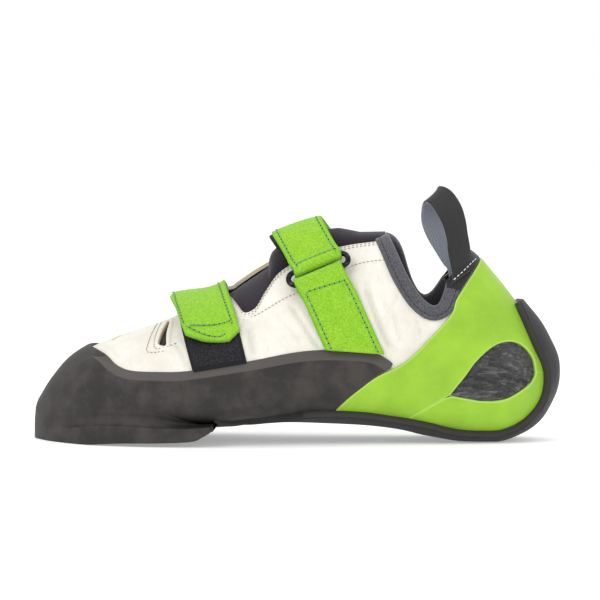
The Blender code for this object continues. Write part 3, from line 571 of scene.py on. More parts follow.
SLING_FRONT = (
    (0.570, 0.140), (0.602, 0.220), (0.631, 0.278), (0.664, 0.336), (0.716, 0.400),
    (0.769, 0.527), (0.805, 0.629), (0.814, 0.695), (0.832, 0.765), (0.868, 0.896),
)
SLING_SEAM = ((0.705, 0.100), (0.754, 0.172), (0.803, 0.242))
WINDOW = (
    (0.803, 0.242), (0.832, 0.331), (0.851, 0.396), (0.874, 0.452), (0.893, 0.482),
    (0.911, 0.494), (0.930, 0.490), (0.949, 0.461), (0.964, 0.410), (0.969, 0.355),
    (0.968, 0.325), (0.956, 0.284), (0.919, 0.228), (0.889, 0.212), (0.859, 0.213),
)
CUP_SEAM_BACK = ((0.969, 0.340), (0.990, 0.330), (1.040, 0.325))
HEEL_RUBBER_BORDER = (
    (0.349, 0.119), (0.362, 0.103), (0.388, 0.095), (0.428, 0.105), (0.504, 0.133),
    (0.524, 0.147), (0.568, 0.152), (0.629, 0.144), (0.690, 0.122), (0.758, 0.093),
    (0.814, 0.056), (0.870, 0.045), (0.908, 0.052), (0.945, 0.092), (0.975, 0.163),
    (0.990, 0.237), (0.993, 0.322), (0.987, 0.387), (0.971, 0.471), (0.949, 0.602),
    (0.937, 0.676),
)
SOLE_SEAM = (
    (-0.020, 0.084), (0.039, 0.071), (0.076, 0.080), (0.125, 0.096), (0.178, 0.096),
    (0.241, 0.091), (0.298, 0.090), (0.347, 0.100),
)
SOLE_BOTTOM = (
    (-0.020, 0.000), (0.086, 0.000), (0.135, 0.008), (0.178, 0.015), (0.296, 0.025),
    (0.327, 0.050), (0.347, 0.080),
)
TAB_LATERAL = (
    (0.270, 0.640), (0.281, 0.602), (0.297, 0.504), (0.328, 0.498), (0.377, 0.509),
    (0.398, 0.561), (0.385, 0.663), (0.363, 0.790),
)
TAB_MEDIAL = (
    (0.270, 0.640), (0.284, 0.560), (0.308, 0.400), (0.402, 0.425), (0.396, 0.560),
    (0.385, 0.663), (0.363, 0.790),
)
STRAP_PATCH = (
    (0.270, 0.640), (0.279, 0.598), (0.308, 0.362), (0.412, 0.405), (0.397, 0.547),
    (0.385, 0.640), (0.372, 0.690),
)
HEEL_PAD = (
    (0.819, 0.722), (0.829, 0.764), (0.864, 0.889), (0.868, 0.930), (0.850, 0.930),
    (0.818, 0.860), (0.797, 0.790), (0.797, 0.752), (0.818, 0.748),
)
REAR_STRAP = np.array((
    (-1.00, 0.516, 0.604, 0.75), (-0.75, 0.506, 0.594, 1.05), (-0.50, 0.494, 0.582, 1.55),
    (-0.25, 0.483, 0.569, 2.00), (0.00, 0.477, 0.562, 2.20), (0.25, 0.481, 0.568, 2.00),
    (0.50, 0.489, 0.579, 1.50), (0.72, 0.498, 0.590, 1.05),
))
RING_FRONT, RING_REAR = (0.5067, 0.765), (0.5985, 0.861)
ANCHOR_FRONT, ANCHOR_REAR = (0.560, 0.463), (0.674, 0.446)
STRAP_MEDIAL_END = 0.46
EYESTAY = from_photo(
    (-34.0, 57.0), (-28.0, 59.5), (-18.5, 63.4), (-7.0, 70.2), (0.5, 73.7), (13.0, 80.2), (26.3, 86.1),
    (30.5, 87.7), (35.8, 88.9), (46.0, 90.0),
)
print("eyestay seam from", np.round(EYESTAY[0], 3), "to", np.round(EYESTAY[-1], 3))

# %% [markdown]
# ## Shader expressions
# A material is a sum of masks and noises, and that reads best as a formula. The class below wraps a
# socket, so that "mask * 0.4 + grain" adds the Math nodes by itself. Colours are blended with Mix nodes,
# because a Math node would turn them grey.

# %% Sockets that do sums
class Wire:
    """An output socket of a material that can be used in a formula."""

    def __init__(self, bench, socket):
        self.bench, self.socket = bench, socket

    def sum(self, operation, left, right=None):
        """A Math node on one or two values."""
        inputs = {0: left} if right is None else {0: left, 1: right}
        return self.bench.add("Math", {"operation": operation}, inputs)

    def __add__(self, other):
        return self.sum("ADD", self, other)

    def __radd__(self, other):
        return self.sum("ADD", other, self)

    def __sub__(self, other):
        return self.sum("SUBTRACT", self, other)

    def __rsub__(self, other):
        return self.sum("SUBTRACT", other, self)

    def __mul__(self, other):
        return self.sum("MULTIPLY", self, other)

    def __rmul__(self, other):
        return self.sum("MULTIPLY", other, self)

    def sine(self):
        return self.sum("SINE", self)

    def clamp(self):
        """Held between 0 and 1."""
        return self.bench.add("Clamp", {}, {"Value": self, "Min": 0.0, "Max": 1.0})

    def between(self, start, end):
        """0 at start, 1 at end, smooth between."""
        return self.bench.add(
            "MapRange", {"interpolation_type": "SMOOTHSTEP"},
            {"Value": self, "From Min": start, "From Max": end, "To Min": 0.0, "To Max": 1.0},
        )


class Bench:
    """One material and the nodes on it."""

    def __init__(self, name):
        self.material = bpy.data.materials.new(name)
        self.material.use_nodes = True
        self.tree = self.material.node_tree
        self.tree.nodes.clear()
        self.place = self.add("TexCoord", out="Object")

    def add(self, kind, settings=None, inputs=None, out=0):
        """A node: its settings first, then values or links for its sockets."""
        node = self.tree.nodes.new("ShaderNode" + kind)
        for key, value in (settings or {}).items():
            setattr(node, key, value)
        for key, value in (inputs or {}).items():
            if isinstance(value, Wire):
                self.tree.links.new(value.socket, node.inputs[key])
            else:
                node.inputs[key].default_value = value
        return Wire(self, node.outputs[out]) if len(node.outputs) else None

    def noise(self, size, detail=3.0, roughness=0.55, place=None, distortion=0.0):
        """Cloudy noise with lumps of this size in metres."""
        inputs = {"Vector": place or self.place, "Scale": 1 / size, "Detail": detail,
                  "Roughness": roughness, "Distortion": distortion}
        return self.add("TexNoise", {}, inputs)

    def cells(self, size, feature="F1"):
        """Distance in a pattern of cells of this size in metres."""
        inputs = {"Vector": self.place, "Scale": 1 / size, "Randomness": 1.0}
        return self.add("TexVoronoi", {"feature": feature}, inputs, "Distance")

    def stretched(self, x, y, z, turn=(0.0, 0.0, 0.0)):
        """Coordinates scaled along each axis, after a turn."""
        return self.add("Mapping", {}, {"Vector": self.place, "Rotation": turn, "Scale": (x, y, z)})

    def parts(self, place=None):
        """The three numbers of a vector."""
        split_node = self.add("SeparateXYZ", {}, {"Vector": place or self.place}).socket.node
        return [Wire(self, split_node.outputs[k]) for k in range(3)]

    def attribute(self, name):
        """A number that was stored on the mesh."""
        return self.add("Attribute", {"attribute_name": name}, out="Fac")

    def blend(self, factor, first, second):
        """A mix of two colours."""
        colours = [(*c, 1) if isinstance(c, tuple) else c for c in (first, second)]
        node_inputs = {0: factor, 6: colours[0], 7: colours[1]}
        return self.add("Mix", {"data_type": "RGBA"}, node_inputs, 2)

    def bump(self, height, depth, strength):
        """Surface relief: height 1 stands this many metres proud."""
        return self.add("Bump", {}, {"Height": height, "Distance": depth, "Strength": strength})

    def finish(self, **sockets):
        """Joins the Principled shader, given by socket names with _ for spaces."""
        named = {key.replace("_", " "): value for key, value in sockets.items()}
        shader = self.add("BsdfPrincipled", {}, named)
        self.add("OutputMaterial", {}, {"Surface": shader})
        return self.material


def srgb(red, green, blue):
    """A colour read off the photograph, as the shader's linear numbers."""
    return tuple(round(((c / 255 + 0.055) / 1.055) ** 2.4 if c > 10 else c / 255 / 12.92, 4)
                 for c in (red, green, blue))


print("leather white is", srgb(240, 237, 228))


# %% [markdown]
# ## Finishes
# Each finish below is read off the real material: what its colour does over centimetres, what its grain
# does over millimetres, and how its edge looks. Distances are in metres, because the pieces stand at
# their true size. "edge" is the distance to the piece's border that was stored on its mesh.

# %% White leather
def white_leather():
    """Milled cowhide: warm white, fine pebble grain, faint wrinkles, beige where it was cut; painted shade in
    folds and hollows.
    """
    bench = Bench("white_leather")
    clouds, patches = bench.noise(0.016, 4), bench.noise(0.045, 2)
    colour = bench.blend(clouds.between(0.35, 0.7), srgb(232, 228, 219), srgb(221, 217, 206))
    colour = bench.blend(patches.between(0.45, 0.75) * 0.3, colour, srgb(224, 215, 205))
    # Painted shade: darker where the folds sink in.
    colour = bench.blend(bench.attribute("fold").between(0.2, 1.1) * 0.22, colour, srgb(168, 160, 148))
    pebble = bench.cells(0.0011, "DISTANCE_TO_EDGE").between(0.0, 0.35)
    veins = bench.noise(0.0055, 5, 0.6, bench.stretched(1.0, 1.0, 0.45), 0.6)
    wrinkle = ((veins - 0.5) * (veins - 0.5) * 220.0).clamp()
    # Painted shade: darker along the wrinkle lines and in the pebble grain's hollows.
    colour = bench.blend((1 - wrinkle) * 0.12, colour, srgb(200, 193, 182))
    colour = bench.blend((1 - pebble) * 0.12, colour, srgb(196, 190, 178))
    cut = 1 - bench.attribute("edge").between(0.05, 0.55)
    colour = bench.blend(cut, colour, srgb(188, 170, 146))
    fine = bench.noise(0.0004, 2)
    relief = bench.bump(pebble * 0.5 + fine * 0.35 + wrinkle * 0.9, 0.00009, 0.55)
    return bench.finish(Base_Color=colour, Roughness=0.5 + clouds * 0.16, Normal=relief,
                        Specular_IOR_Level=0.4)


# %% [markdown]
# Rubber is never one flat black. It has clouds of darker and paler compound, a dusty bloom on its high
# spots, and scuffs along the way the foot slides. The rand's ground edge shows as a paler band.

# %% Black rubber
def rubber(name, dark, light, bloom_and_edge_highlight, rough=0.58, bevel=False, edge_highlight=True):
    """Moulded climbing rubber: cloudy colour, dusty bloom, scuffs that run along the shoe, a painted
    highlight along its rounded edge.
    """
    bench = Bench(name)
    clouds, small = bench.noise(0.018, 5, 0.6), bench.noise(0.0035, 4, 0.65)
    colour = bench.blend(clouds.between(0.38, 0.66), dark, light)
    colour = bench.blend(small.between(0.55, 0.85) * 0.35, colour, bloom_and_edge_highlight)
    scuffs = bench.noise(0.0025, 3, 0.6, bench.stretched(0.18, 1.0, 1.0)).between(0.62, 0.8)
    colour = bench.blend(scuffs * 0.18, colour, bloom_and_edge_highlight)
    speck = bench.noise(0.00035, 2)
    rough_here = rough + clouds * 0.12 - scuffs * 0.08
    height = speck * 0.5 + small * 0.8 + clouds * 0.6
    # Painted highlight: paler along the piece's rounded edge.
    if edge_highlight:
        edge = bench.attribute("edge")
        colour = bench.blend((1 - edge.between(0.1, 0.8)) * 0.55, colour, bloom_and_edge_highlight)
    if bevel:
        skived = 1 - bench.attribute("below_top").between(4.9, 5.5)
        colour = bench.blend(skived * 0.75, colour, srgb(84, 79, 76))
        height = height + skived * bench.noise(0.0006, 2, 0.5, bench.stretched(0.3, 1, 1)) * 0.8
    relief = bench.bump(height, 0.00005, 0.6)
    return bench.finish(Base_Color=colour, Roughness=rough_here, Normal=relief, Specular_IOR_Level=0.35)


# %% Green heel rubber
def green_rubber():
    """Coloured rubber: satin, a little uneven, with a painted highlight along its rounded edges and painted
    shade at the border.
    """
    bench = Bench("green_rubber")
    clouds, small = bench.noise(0.022, 4, 0.55), bench.noise(0.002, 3, 0.6)
    colour = bench.blend(clouds.between(0.3, 0.7), srgb(132, 176, 36), srgb(148, 192, 44))
    colour = bench.blend(small.between(0.5, 0.85) * 0.25, colour, srgb(162, 204, 66))
    edge = bench.attribute("edge")
    # Painted highlight along the rounded edge, then a thin line of painted shade right at the border.
    colour = bench.blend((1 - edge.between(0.3, 1.1)) * 0.55, colour, srgb(186, 222, 118))
    colour = bench.blend((1 - edge.between(0.0, 0.25)) * 0.5, colour, srgb(96, 132, 40))
    relief = bench.bump(bench.noise(0.0005, 2) * 0.4 + clouds * 1.5 + small * 0.6, 0.00006, 0.6)
    return bench.finish(Base_Color=colour, Roughness=0.42 + small * 0.1, Normal=relief,
                        Specular_IOR_Level=0.4)


# %% [markdown]
# The straps are a tape with a brushed face. Two sizes of noise make the pile: a coarse one for the tufts
# and a fine one whose bright and dark ends are mixed in as single fibres.

# %% Green strap tape
def green_tape():
    """Brushed microfibre tape: fine mottled pile, darker towards its edges."""
    bench = Bench("green_tape")
    speck, tufts = bench.noise(0.0005, 3, 0.75), bench.noise(0.0013, 4, 0.75)
    broad = bench.noise(0.02, 3)
    colour = bench.blend(tufts.between(0.35, 0.65), srgb(122, 176, 32), srgb(144, 196, 50))
    colour = bench.blend(speck.between(0.5, 0.7) * 0.6, colour, srgb(176, 216, 84))
    colour = bench.blend((1 - speck).between(0.5, 0.66) * 0.6, colour, srgb(88, 142, 18))
    colour = bench.blend(broad.between(0.45, 0.8) * 0.3, colour, srgb(158, 198, 44))
    edge = bench.attribute("edge")
    colour = bench.blend((1 - edge.between(0.4, 1.3)) * 0.55, colour, srgb(96, 164, 26))
    relief = bench.bump(speck * 0.8 + tufts * 0.6, 0.00022, 0.7)
    return bench.finish(Base_Color=colour, Roughness=0.86, Normal=relief, Sheen_Weight=0.12,
                        Sheen_Roughness=0.5, Specular_IOR_Level=0.2)


# %% [markdown]
# The leather behind the heel's openings is glossy and wrinkled where the rubber pulls at it. A noise
# that is stretched along one slanted axis gives lines that all run the same way. They feed the relief,
# and a second, finer set is painted in as pale streaks with dark troughs, painted highlights and painted
# shade, because soft light alone would hardly show them. A broader noise paints sheen over it.

# %% Black window leather
def black_leather():
    """Glossy calf with pebble grain and stretch lines that run down towards the back, with painted sheen,
    highlights and shade.
    """
    bench = Bench("black_leather")
    slant = (0.0, math.radians(-24), 0.0)
    along_fold = bench.stretched(0.28, 1.0, 1.0, slant)
    pebble = bench.cells(0.0013, "DISTANCE_TO_EDGE").between(0.0, 0.3)
    folds = bench.noise(0.0022, 4, 0.6, along_fold, 0.4)
    ridge = ((folds - 0.5) * (folds - 0.5) * 90.0).clamp()
    # Painted shade: darker in the pebble grain's hollows.
    colour = bench.blend(pebble, srgb(8, 8, 9), srgb(20, 20, 22))
    colour = bench.blend(bench.noise(0.004, 3).between(0.55, 0.75) * 0.25, colour, srgb(60, 60, 62))
    wrinkled = bench.stretched(0.14, 1.0, 1.0, slant)
    highlight_and_shade_streaks, painted_sheen = bench.noise(0.0017, 3, 0.6, wrinkled, 0.5), bench.noise(0.009, 2)
    # Painted sheen and highlight streaks, and painted shade in the troughs between the streaks.
    colour = bench.blend(painted_sheen.between(0.42, 0.62) * 0.35, colour, srgb(84, 84, 86))
    colour = bench.blend(highlight_and_shade_streaks.between(0.50, 0.66) * 0.42, colour, srgb(128, 128, 130))
    colour = bench.blend((1 - highlight_and_shade_streaks.between(0.36, 0.48)) * 0.85, colour, srgb(2, 2, 2))
    relief = bench.bump(pebble * 0.4 + ridge * 1.4 + bench.noise(0.0004, 2) * 0.2, 0.00055, 0.9)
    rough = 0.26 + bench.noise(0.003, 3) * 0.2 - pebble * 0.05
    return bench.finish(Base_Color=colour, Roughness=rough, Normal=relief, Coat_Weight=0.5,
                        Coat_Roughness=0.2)


# %% [markdown]
# Cloth has a thread structure that repeats. Sine waves make it: two crossed ones for the loops of a
# knit, a slanted one and a straight one for a twill that runs with the webbing wherever it bends.

# %% Cloths
def felt():
    """Charcoal felt: short heathered fibres."""
    bench = Bench("felt")
    fibres = bench.noise(0.0004, 3, 0.7, bench.stretched(1.0, 1.0, 0.5), 1.0)
    tufts = bench.noise(0.0022, 3, 0.6)
    colour = bench.blend(fibres.between(0.35, 0.65), srgb(58, 58, 63), srgb(98, 98, 104))
    colour = bench.blend(tufts.between(0.5, 0.8) * 0.4, colour, srgb(74, 74, 80))
    relief = bench.bump(fibres * 0.8 + tufts * 0.5, 0.0002, 0.7)
    return bench.finish(Base_Color=colour, Roughness=0.95, Normal=relief, Sheen_Weight=0.35,
                        Sheen_Roughness=0.5, Specular_IOR_Level=0.15)


TURN_ROUND = 6.2832


def knit(name, dark, light, size=0.0011):
    """Fine knit: rows of small loops, one loop for each size in metres."""
    bench = Bench(name)
    x, y, z = bench.parts(bench.stretched(1 / size, 1 / size, 1 / size))
    loops = ((x * TURN_ROUND).sine() * ((z + y * 0.7) * TURN_ROUND).sine() + 1) * 0.5
    yarn = bench.noise(0.0005, 3, 0.7)
    colour = bench.blend((loops * 0.6 + yarn * 0.4).between(0.25, 0.75), dark, light)
    relief = bench.bump(loops * 0.7 + yarn * 0.4, 0.0002, 0.6)
    return bench.finish(Base_Color=colour, Roughness=0.93, Normal=relief, Sheen_Weight=0.2,
                        Sheen_Roughness=0.5, Specular_IOR_Level=0.15)


def webbing(name, dark, light):
    """Woven webbing: diagonal twill that runs with the band."""
    bench = Bench(name)
    run, cross = bench.attribute("run"), bench.attribute("cross")
    twill = ((run * 5.2 + cross * 6.6).sine() + 1) * 0.5
    weft = ((run * 9.0).sine() + 1) * 0.5
    yarn = bench.noise(0.0005, 3, 0.6)
    colour = bench.blend((twill * 0.55 + weft * 0.2 + yarn * 0.35).between(0.3, 0.85), dark, light)
    relief = bench.bump(twill * 0.7 + weft * 0.3 + yarn * 0.2, 0.00018, 0.7)
    return bench.finish(Base_Color=colour, Roughness=0.82, Normal=relief, Sheen_Weight=0.2,
                        Sheen_Roughness=0.4, Specular_IOR_Level=0.25)


def loop_pile():
    """The loop side of hook-and-loop tape: a black fleece with a smooth woven edge."""
    bench = Bench("loop_pile")
    loops, tufts = bench.noise(0.00055, 3, 0.75), bench.cells(0.0009)
    inside = bench.attribute("edge").between(1.6, 2.0)
    fleece = (loops * 0.7 + tufts * 0.5).between(0.35, 0.8)
    colour = bench.blend(fleece, srgb(9, 9, 11), srgb(44, 43, 48))
    colour = bench.blend(inside, srgb(26, 26, 29), colour)
    relief = bench.bump((loops + tufts) * inside + 0.1, 0.0005, 0.9)
    return bench.finish(Base_Color=colour, Roughness=0.97, Normal=relief, Sheen_Weight=0.08,
                        Sheen_Roughness=0.6, Specular_IOR_Level=0.15)


# %% Metal and thread
def gunmetal():
    """Blackened wire with a soft shine and small rubbed spots."""
    bench = Bench("gunmetal")
    wear = bench.noise(0.0015, 4, 0.6)
    colour = bench.blend(wear.between(0.5, 0.8), srgb(34, 34, 37), srgb(84, 83, 82))
    relief = bench.bump(wear, 0.00002, 0.5)
    return bench.finish(Base_Color=colour, Roughness=0.24 + wear * 0.15, Metallic=0.9, Normal=relief)


def thread(name, dark, light):
    """Twisted sewing thread."""
    bench = Bench(name)
    x, _, z = bench.parts()
    twist = (((x + z) * 12000.0).sine() + 1) * 0.5
    fuzz = bench.noise(0.0003, 2)
    colour = bench.blend((twist * 0.6 + fuzz * 0.4).between(0.2, 0.8), dark, light)
    relief = bench.bump(twist, 0.00005, 0.5)
    return bench.finish(Base_Color=colour, Roughness=0.75, Normal=relief, Specular_IOR_Level=0.3)


# %% [markdown]
# Every finish is made once and kept by name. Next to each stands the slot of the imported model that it
# belongs to, so that a later change of, say, the strap's colour finds all the pieces made of it.

# %% Make them all
RAND_TONES = (srgb(38, 35, 34), srgb(60, 56, 54), srgb(80, 75, 72))
SOLE_TONES = (srgb(27, 25, 26), srgb(38, 36, 36), srgb(58, 54, 53))
FINISH = {
    "white_leather": (white_leather(), "upper_leather"),
    "lining": (knit("lining", srgb(26, 23, 28), srgb(58, 52, 62)), "lining"),
    "rand_rubber": (rubber("rand_rubber", *RAND_TONES, bevel=True), "rand_rubber"),
    "sole_rubber": (rubber("sole_rubber", *SOLE_TONES, rough=0.5), "sole_rubber"),
    "front_rubber": (rubber("front_rubber", *RAND_TONES, edge_highlight=False), "sole_rubber"),
    "green_rubber": (green_rubber(), "heel_rubber"),
    "green_tape": (green_tape(), "strap_tape"),
    "black_leather": (black_leather(), "window_leather"),
    "felt": (felt(), "felt"),
    "webbing": (webbing("webbing", srgb(24, 24, 25), srgb(58, 58, 59)), "webbing"),
    "webbing_back": (webbing("webbing_back", srgb(100, 104, 112), srgb(146, 150, 160)), "webbing"),
    "loop_pile": (loop_pile(), "loop_pile"),
    "gunmetal": (gunmetal(), "ring_metal"),
    "insole_cloth": (knit("insole_cloth", srgb(70, 70, 74), srgb(104, 104, 110), 0.0014), "insole_cloth"),
    "thread_grey": (thread("thread_grey", srgb(120, 114, 106), srgb(172, 166, 156)), "upper_leather"),
    "thread_mint": (thread("thread_mint", srgb(64, 138, 84), srgb(112, 184, 122)), "strap_tape"),
    "thread_white": (thread("thread_white", srgb(196, 192, 184), srgb(240, 238, 232)), "upper_leather"),
    "dark_thread_and_hole_shade": (thread("dark_thread_and_hole_shade", srgb(22, 21, 24), srgb(52, 50, 54)), "webbing"),
}
print(len(FINISH), "finishes")


def dress(piece, finish, *nodes):
    """Gives a piece its finish, hangs it under the root and hides the solids that it stands for."""
    material, slot = FINISH[finish]
    piece.data.materials.append(material)
    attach(piece, "root")
    if nodes:
        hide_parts(*nodes)
    print(piece.name, len(piece.data.polygons), "faces")
    return piece


# %% [markdown]
# ## The leather upper
# The upper is one hollow shell of 2 mm leather, open at the throat where the tongue shows, at the collar
# and underneath. The throat is given by how far round the section its two edges lie, so its field is the
# true distance to that edge line.

# %% The throat
column = np.arange(COLUMNS)
TURN = np.where(column < COLUMNS / 2, column, column - COLUMNS) / COLUMNS


def throat_turns(along, which):
    """How far round the section the throat's lateral (1) or medial (2) edge lies."""
    heights = smooth(THROAT[:, 0], THROAT[:, which], along)
    return np.abs(turn_at(along, heights, which == 2))


def throat_field():
    """Millimetres inside the throat (plus) or outside it (minus), over the grid."""
    rows = np.linspace(THROAT[0, 0], THROAT[-1, 0], 90)
    near_edge = on_last(rows, throat_turns(rows, 1))[0]
    far_edge = on_last(rows, -throat_turns(rows, 2))[0]
    in_rows = (ALONG > THROAT[0, 0]) & (ALONG < THROAT[-1, 0])
    row_near, row_far = np.zeros(len(ALONG)), np.zeros(len(ALONG))
    row_near[in_rows] = throat_turns(ALONG[in_rows], 1)
    row_far[in_rows] = throat_turns(ALONG[in_rows], 2)
    inside = (TURN[None] < row_near[:, None]) & (TURN[None] > -row_far[:, None])
    gap = np.minimum(near_line(near_edge), near_line(far_edge))
    return np.where(inside, gap, -gap)


# %% The collar and the eyestay
FAR_EYESTAY = (0.0, 0.07)


def collar_cut(collar):
    """Side-view outline of what the collar leaves open."""
    line = curve(collar + COLLAR_BACK)
    return np.vstack((line, [(line[-1][0] + 0.02, 1.6), (line[0][0], 1.6)]))


collar = two_sided(collar_cut(COLLAR_LATERAL), collar_cut(COLLAR_MEDIAL))
above_eyestay = np.vstack((EYESTAY, [(0.80, 0.90), (0.80, 1.6), (0.33, 1.6), (0.33, 0.60)]))
eyestay = two_sided(above_eyestay, above_eyestay + FAR_EYESTAY)
leather = np.minimum(-throat_field(), -collar)
print("leather covers", round(float((leather > 0).mean()), 2), "of the grid")

# %% [markdown]
# The folds of the leather were placed from the photograph: soft troughs behind and before the
# instep strap, short wrinkles beside the front strap, and a few folds on the quarter below the collar.
# The medial side isn't in the picture and gets calmer folds of its own. Each row is a fold's width, its
# depth and its line, in millimetres.

# %% Folds of the leather
LATERAL_FOLDS = (
    (1.4, 1.16, ((33, 78), (37, 66), (43, 52), (46, 47))),
    (1.1, 0.78, ((49, 76), (47.5, 65), (49, 56), (52, 49))),
    (0.9, 0.85, ((58.5, 63), (60, 58), (61.5, 53))),
    (1.5, 0.70, ((40, 86), (41, 74), (46, 62))),
    (1.2, 0.85, ((-3, 69), (3, 60), (9, 51), (12, 47))),
    (1.0, 0.54, ((-8, 63), (-1, 55), (4, 48))),
    (1.9, 1.24, ((-25, 59), (-23, 52), (-21, 43))),
    (1.1, 0.62, ((-17, 55), (-14, 48), (-13, 43))),
    (0.9, 0.54, ((-59, 50), (-56, 45), (-53, 38))),
    (0.9, 0.46, ((-66, 45), (-66.5, 40), (-66, 36))),
    (1.4, 0.54, ((-84, 49), (-79, 44), (-76, 38))),
    (1.1, 0.46, ((-98, 47.5), (-93, 46), (-88, 42))),
)
MEDIAL_FOLDS = (
    (1.5, 0.93, ((30, 80), (36, 66), (42, 52))),
    (1.2, 0.70, ((50, 72), (50, 62), (54, 52))),
    (1.6, 0.93, ((-6, 72), (0, 60), (6, 49))),
    (1.5, 0.78, ((-30, 58), (-24, 50), (-20, 44))),
    (1.1, 0.54, ((-62, 50), (-58, 44), (-54, 38))),
)
print(len(LATERAL_FOLDS), "lateral folds,", len(MEDIAL_FOLDS), "medial folds")

# %% [markdown]
# Two slits in the forefoot leather let it give. One is a drop-shaped opening on the lateral side with two
# seams round its end, the other a narrow curved cut over the toes.

# %% Slits and their seams
SLIT = curve(from_photo((-64.2, 59.4), (-66.4, 55.7), (-67.9, 51.6), (-68.1, 49.7), (-66.4, 49.0),
                        (-64.7, 49.3), (-64.7, 52.0), (-64.6, 55.4), (-63.7, 59.2), (-64.2, 59.4)), 3)[:-1]
SLIT_SEAMS = (
    from_photo((-67.6, 58.6), (-69.3, 55.2), (-70.3, 51.7), (-70.4, 48.7), (-69.0, 47.2), (-66.0, 47.6),
               (-62.4, 48.7), (-59.0, 50.2)),
    from_photo((-69.8, 58.0), (-71.9, 54.0), (-73.6, 49.0), (-74.0, 46.6), (-72.6, 45.5), (-69.1, 45.6),
               (-64.8, 46.4)),
)
TOP_EDGE_SEAM = from_photo((18.0, 95.6), (25.3, 97.2), (30.5, 97.9), (36.2, 98.2), (41.5, 98.0))
TOE_SLIT_ENDS = ((0.146, 0.045), (0.172, -0.055))
TOE_SLIT_BEND, TOE_SLIT_HALF_WIDTH, TOE_SLIT_LOWEST = 1.6, 1.15, 0.035


def toe_slit_edge(data):
    """Millimetres inside the narrow slit over the toes."""
    ends = np.array([on_last(a, t)[0] for a, t in TOE_SLIT_ENDS])
    half = np.linalg.norm(ends[1] - ends[0]) / 2
    axis = unit(ends[1] - ends[0])
    off = data["at"] - ends.mean(axis=0)
    run = off @ axis
    bulge = 1 - (run / half) ** 2
    side = off @ np.cross(axis, (0, 0, 1)) - TOE_SLIT_BEND * MM * bulge
    width = TOE_SLIT_HALF_WIDTH * MM * np.sqrt(np.clip(bulge, 0, 1))
    near = (np.abs(run) < half) & (data["at"][:, 2] > TOE_SLIT_LOWEST)
    return np.where(near, (width - np.abs(side)) / MM, -3.0)


def side_slit_edge(data):
    """Millimetres inside the slit on the lateral side."""
    return np.where(data["at"][:, 1] < SHIFT[1], outline_edge(data, SLIT), -FAR)


# %% Cut the shell and its slits
def open_hole(cut, hole):
    """A cut piece without what lies in the hole, and how far each point is from the hole, in mm."""
    data, faces = cut
    table = np.column_stack([data[name] for name in data] + [hole])
    table, faces = split(table, faces, hole, 0.02)
    faces = faces[table[faces][:, :, -1].mean(axis=1) < 0]
    used, flat = np.unique(faces, return_inverse=True)
    table, faces = table[used], flat.reshape(faces.shape)
    from_hole = -table[:, -1]
    kept = {"at": table[:, :3], "normal": table[:, 3:6], "edge": np.minimum(table[:, 6], from_hole),
            "eyestay": table[:, 7]}
    return kept, faces, from_hole


shell = cut_piece(leather, (0.12, 0.3, 0.55, 1.0, 1.6), {"eyestay": eyestay})
lining_data, lining_faces = shell
for _ in range(2):
    middles = {"at": shell[0]["at"][shell[1]].mean(axis=1)}
    shell = refine(shell, (side_slit_edge(middles) > -2.5) | (toe_slit_edge(middles) > -2.2))
slits = np.maximum(side_slit_edge(shell[0]), toe_slit_edge(shell[0]))
upper_data, upper_faces, from_slit = open_hole(shell, slits)
print("leather:", len(upper_faces), "triangles, slits cut")

# %% [markdown]
# The leather's height is a sum of simple things: a second layer above the eyestay's seam, the folds, a
# low swelling round the slits, a shallow trough that each seam pulls in, and the rounded edge. Its back
# isn't modelled twice. The lining is a mesh of its own, laid on the inner face of the leather.

# %% Raise the leather and its lining
EYESTAY_LAYER, LEATHER_ROUND = 0.55, 0.5
SEAM_TROUGHS = ((EYESTAY, 0.10), (SLIT_SEAMS[0], 0.12), (SLIT_SEAMS[1], 0.12), (TOP_EDGE_SEAM, 0.15))


def inner_face(edge):
    """Height of the leather's inner face, which rounds off towards the edge, in mm."""
    return -WALL / MM + LEATHER_ROUND - rounded(edge, LEATHER_ROUND, LEATHER_ROUND)


at = upper_data["at"]
on_lateral = at[:, 1] < SHIFT[1]
lift = EYESTAY_LAYER * step_up(upper_data["eyestay"], -0.1, 0.5)
folds = np.where(on_lateral, creases(at, LATERAL_FOLDS), creases(at, MEDIAL_FOLDS, True))
# The fold's depth is kept on the mesh, where the white leather paints shade into the troughs.
upper_data["fold"] = np.clip(-folds, 0, 2)
lift += folds
lift += 0.35 * bell(from_slit - 1.2, 1.0) * (from_slit < 4)
for seam_line, shallow in SEAM_TROUGHS:
    seam_spots = on_side(shifted(curve(seam_line), 0.0007))[0]
    lift -= shallow * bell(to_line(at, seam_spots), 0.7) * on_lateral
lift += -LEATHER_ROUND + rounded(upper_data["edge"], LEATHER_ROUND, LEATHER_ROUND)
upper = raise_piece("upper_leather", (upper_data, upper_faces), lift, inner_face(upper_data["edge"]))
dress(upper, "white_leather", "upper")
lining_rise = inner_face(lining_data["edge"]) * MM
lining_spots = lining_data["at"] + lining_data["normal"] * lining_rise[:, None]
lining_numbers = {"run": lining_data["at"][:, 0] / MM, "cross": lining_data["at"][:, 2] / MM}
dress(mesh_piece("upper_lining", lining_spots, lining_faces[:, ::-1], lining_numbers), "lining")

# %% [markdown]
# ## The rubber
# The rand is a sheet of rubber glued over the toe and along both sides. Its top edge is skived, which
# means ground down to a thin lip, and the ground band shows paler. So the rand carries a second number,
# how far below its top edge a point is, that thins the sheet and lightens its colour. On the crown of
# the toe the sheet faces up and that side-view distance says little, so the band fades out there.

# %% Toe rand
FINE_EDGE, SUNK = (0.15, 0.4, 0.8), -0.3
BEVEL_WIDTH, BEVEL_LIP, RAND_ROUND, NO_BEVEL = 5.5, 0.5, 0.4, 9.0
CROWN_STARTS = 0.112

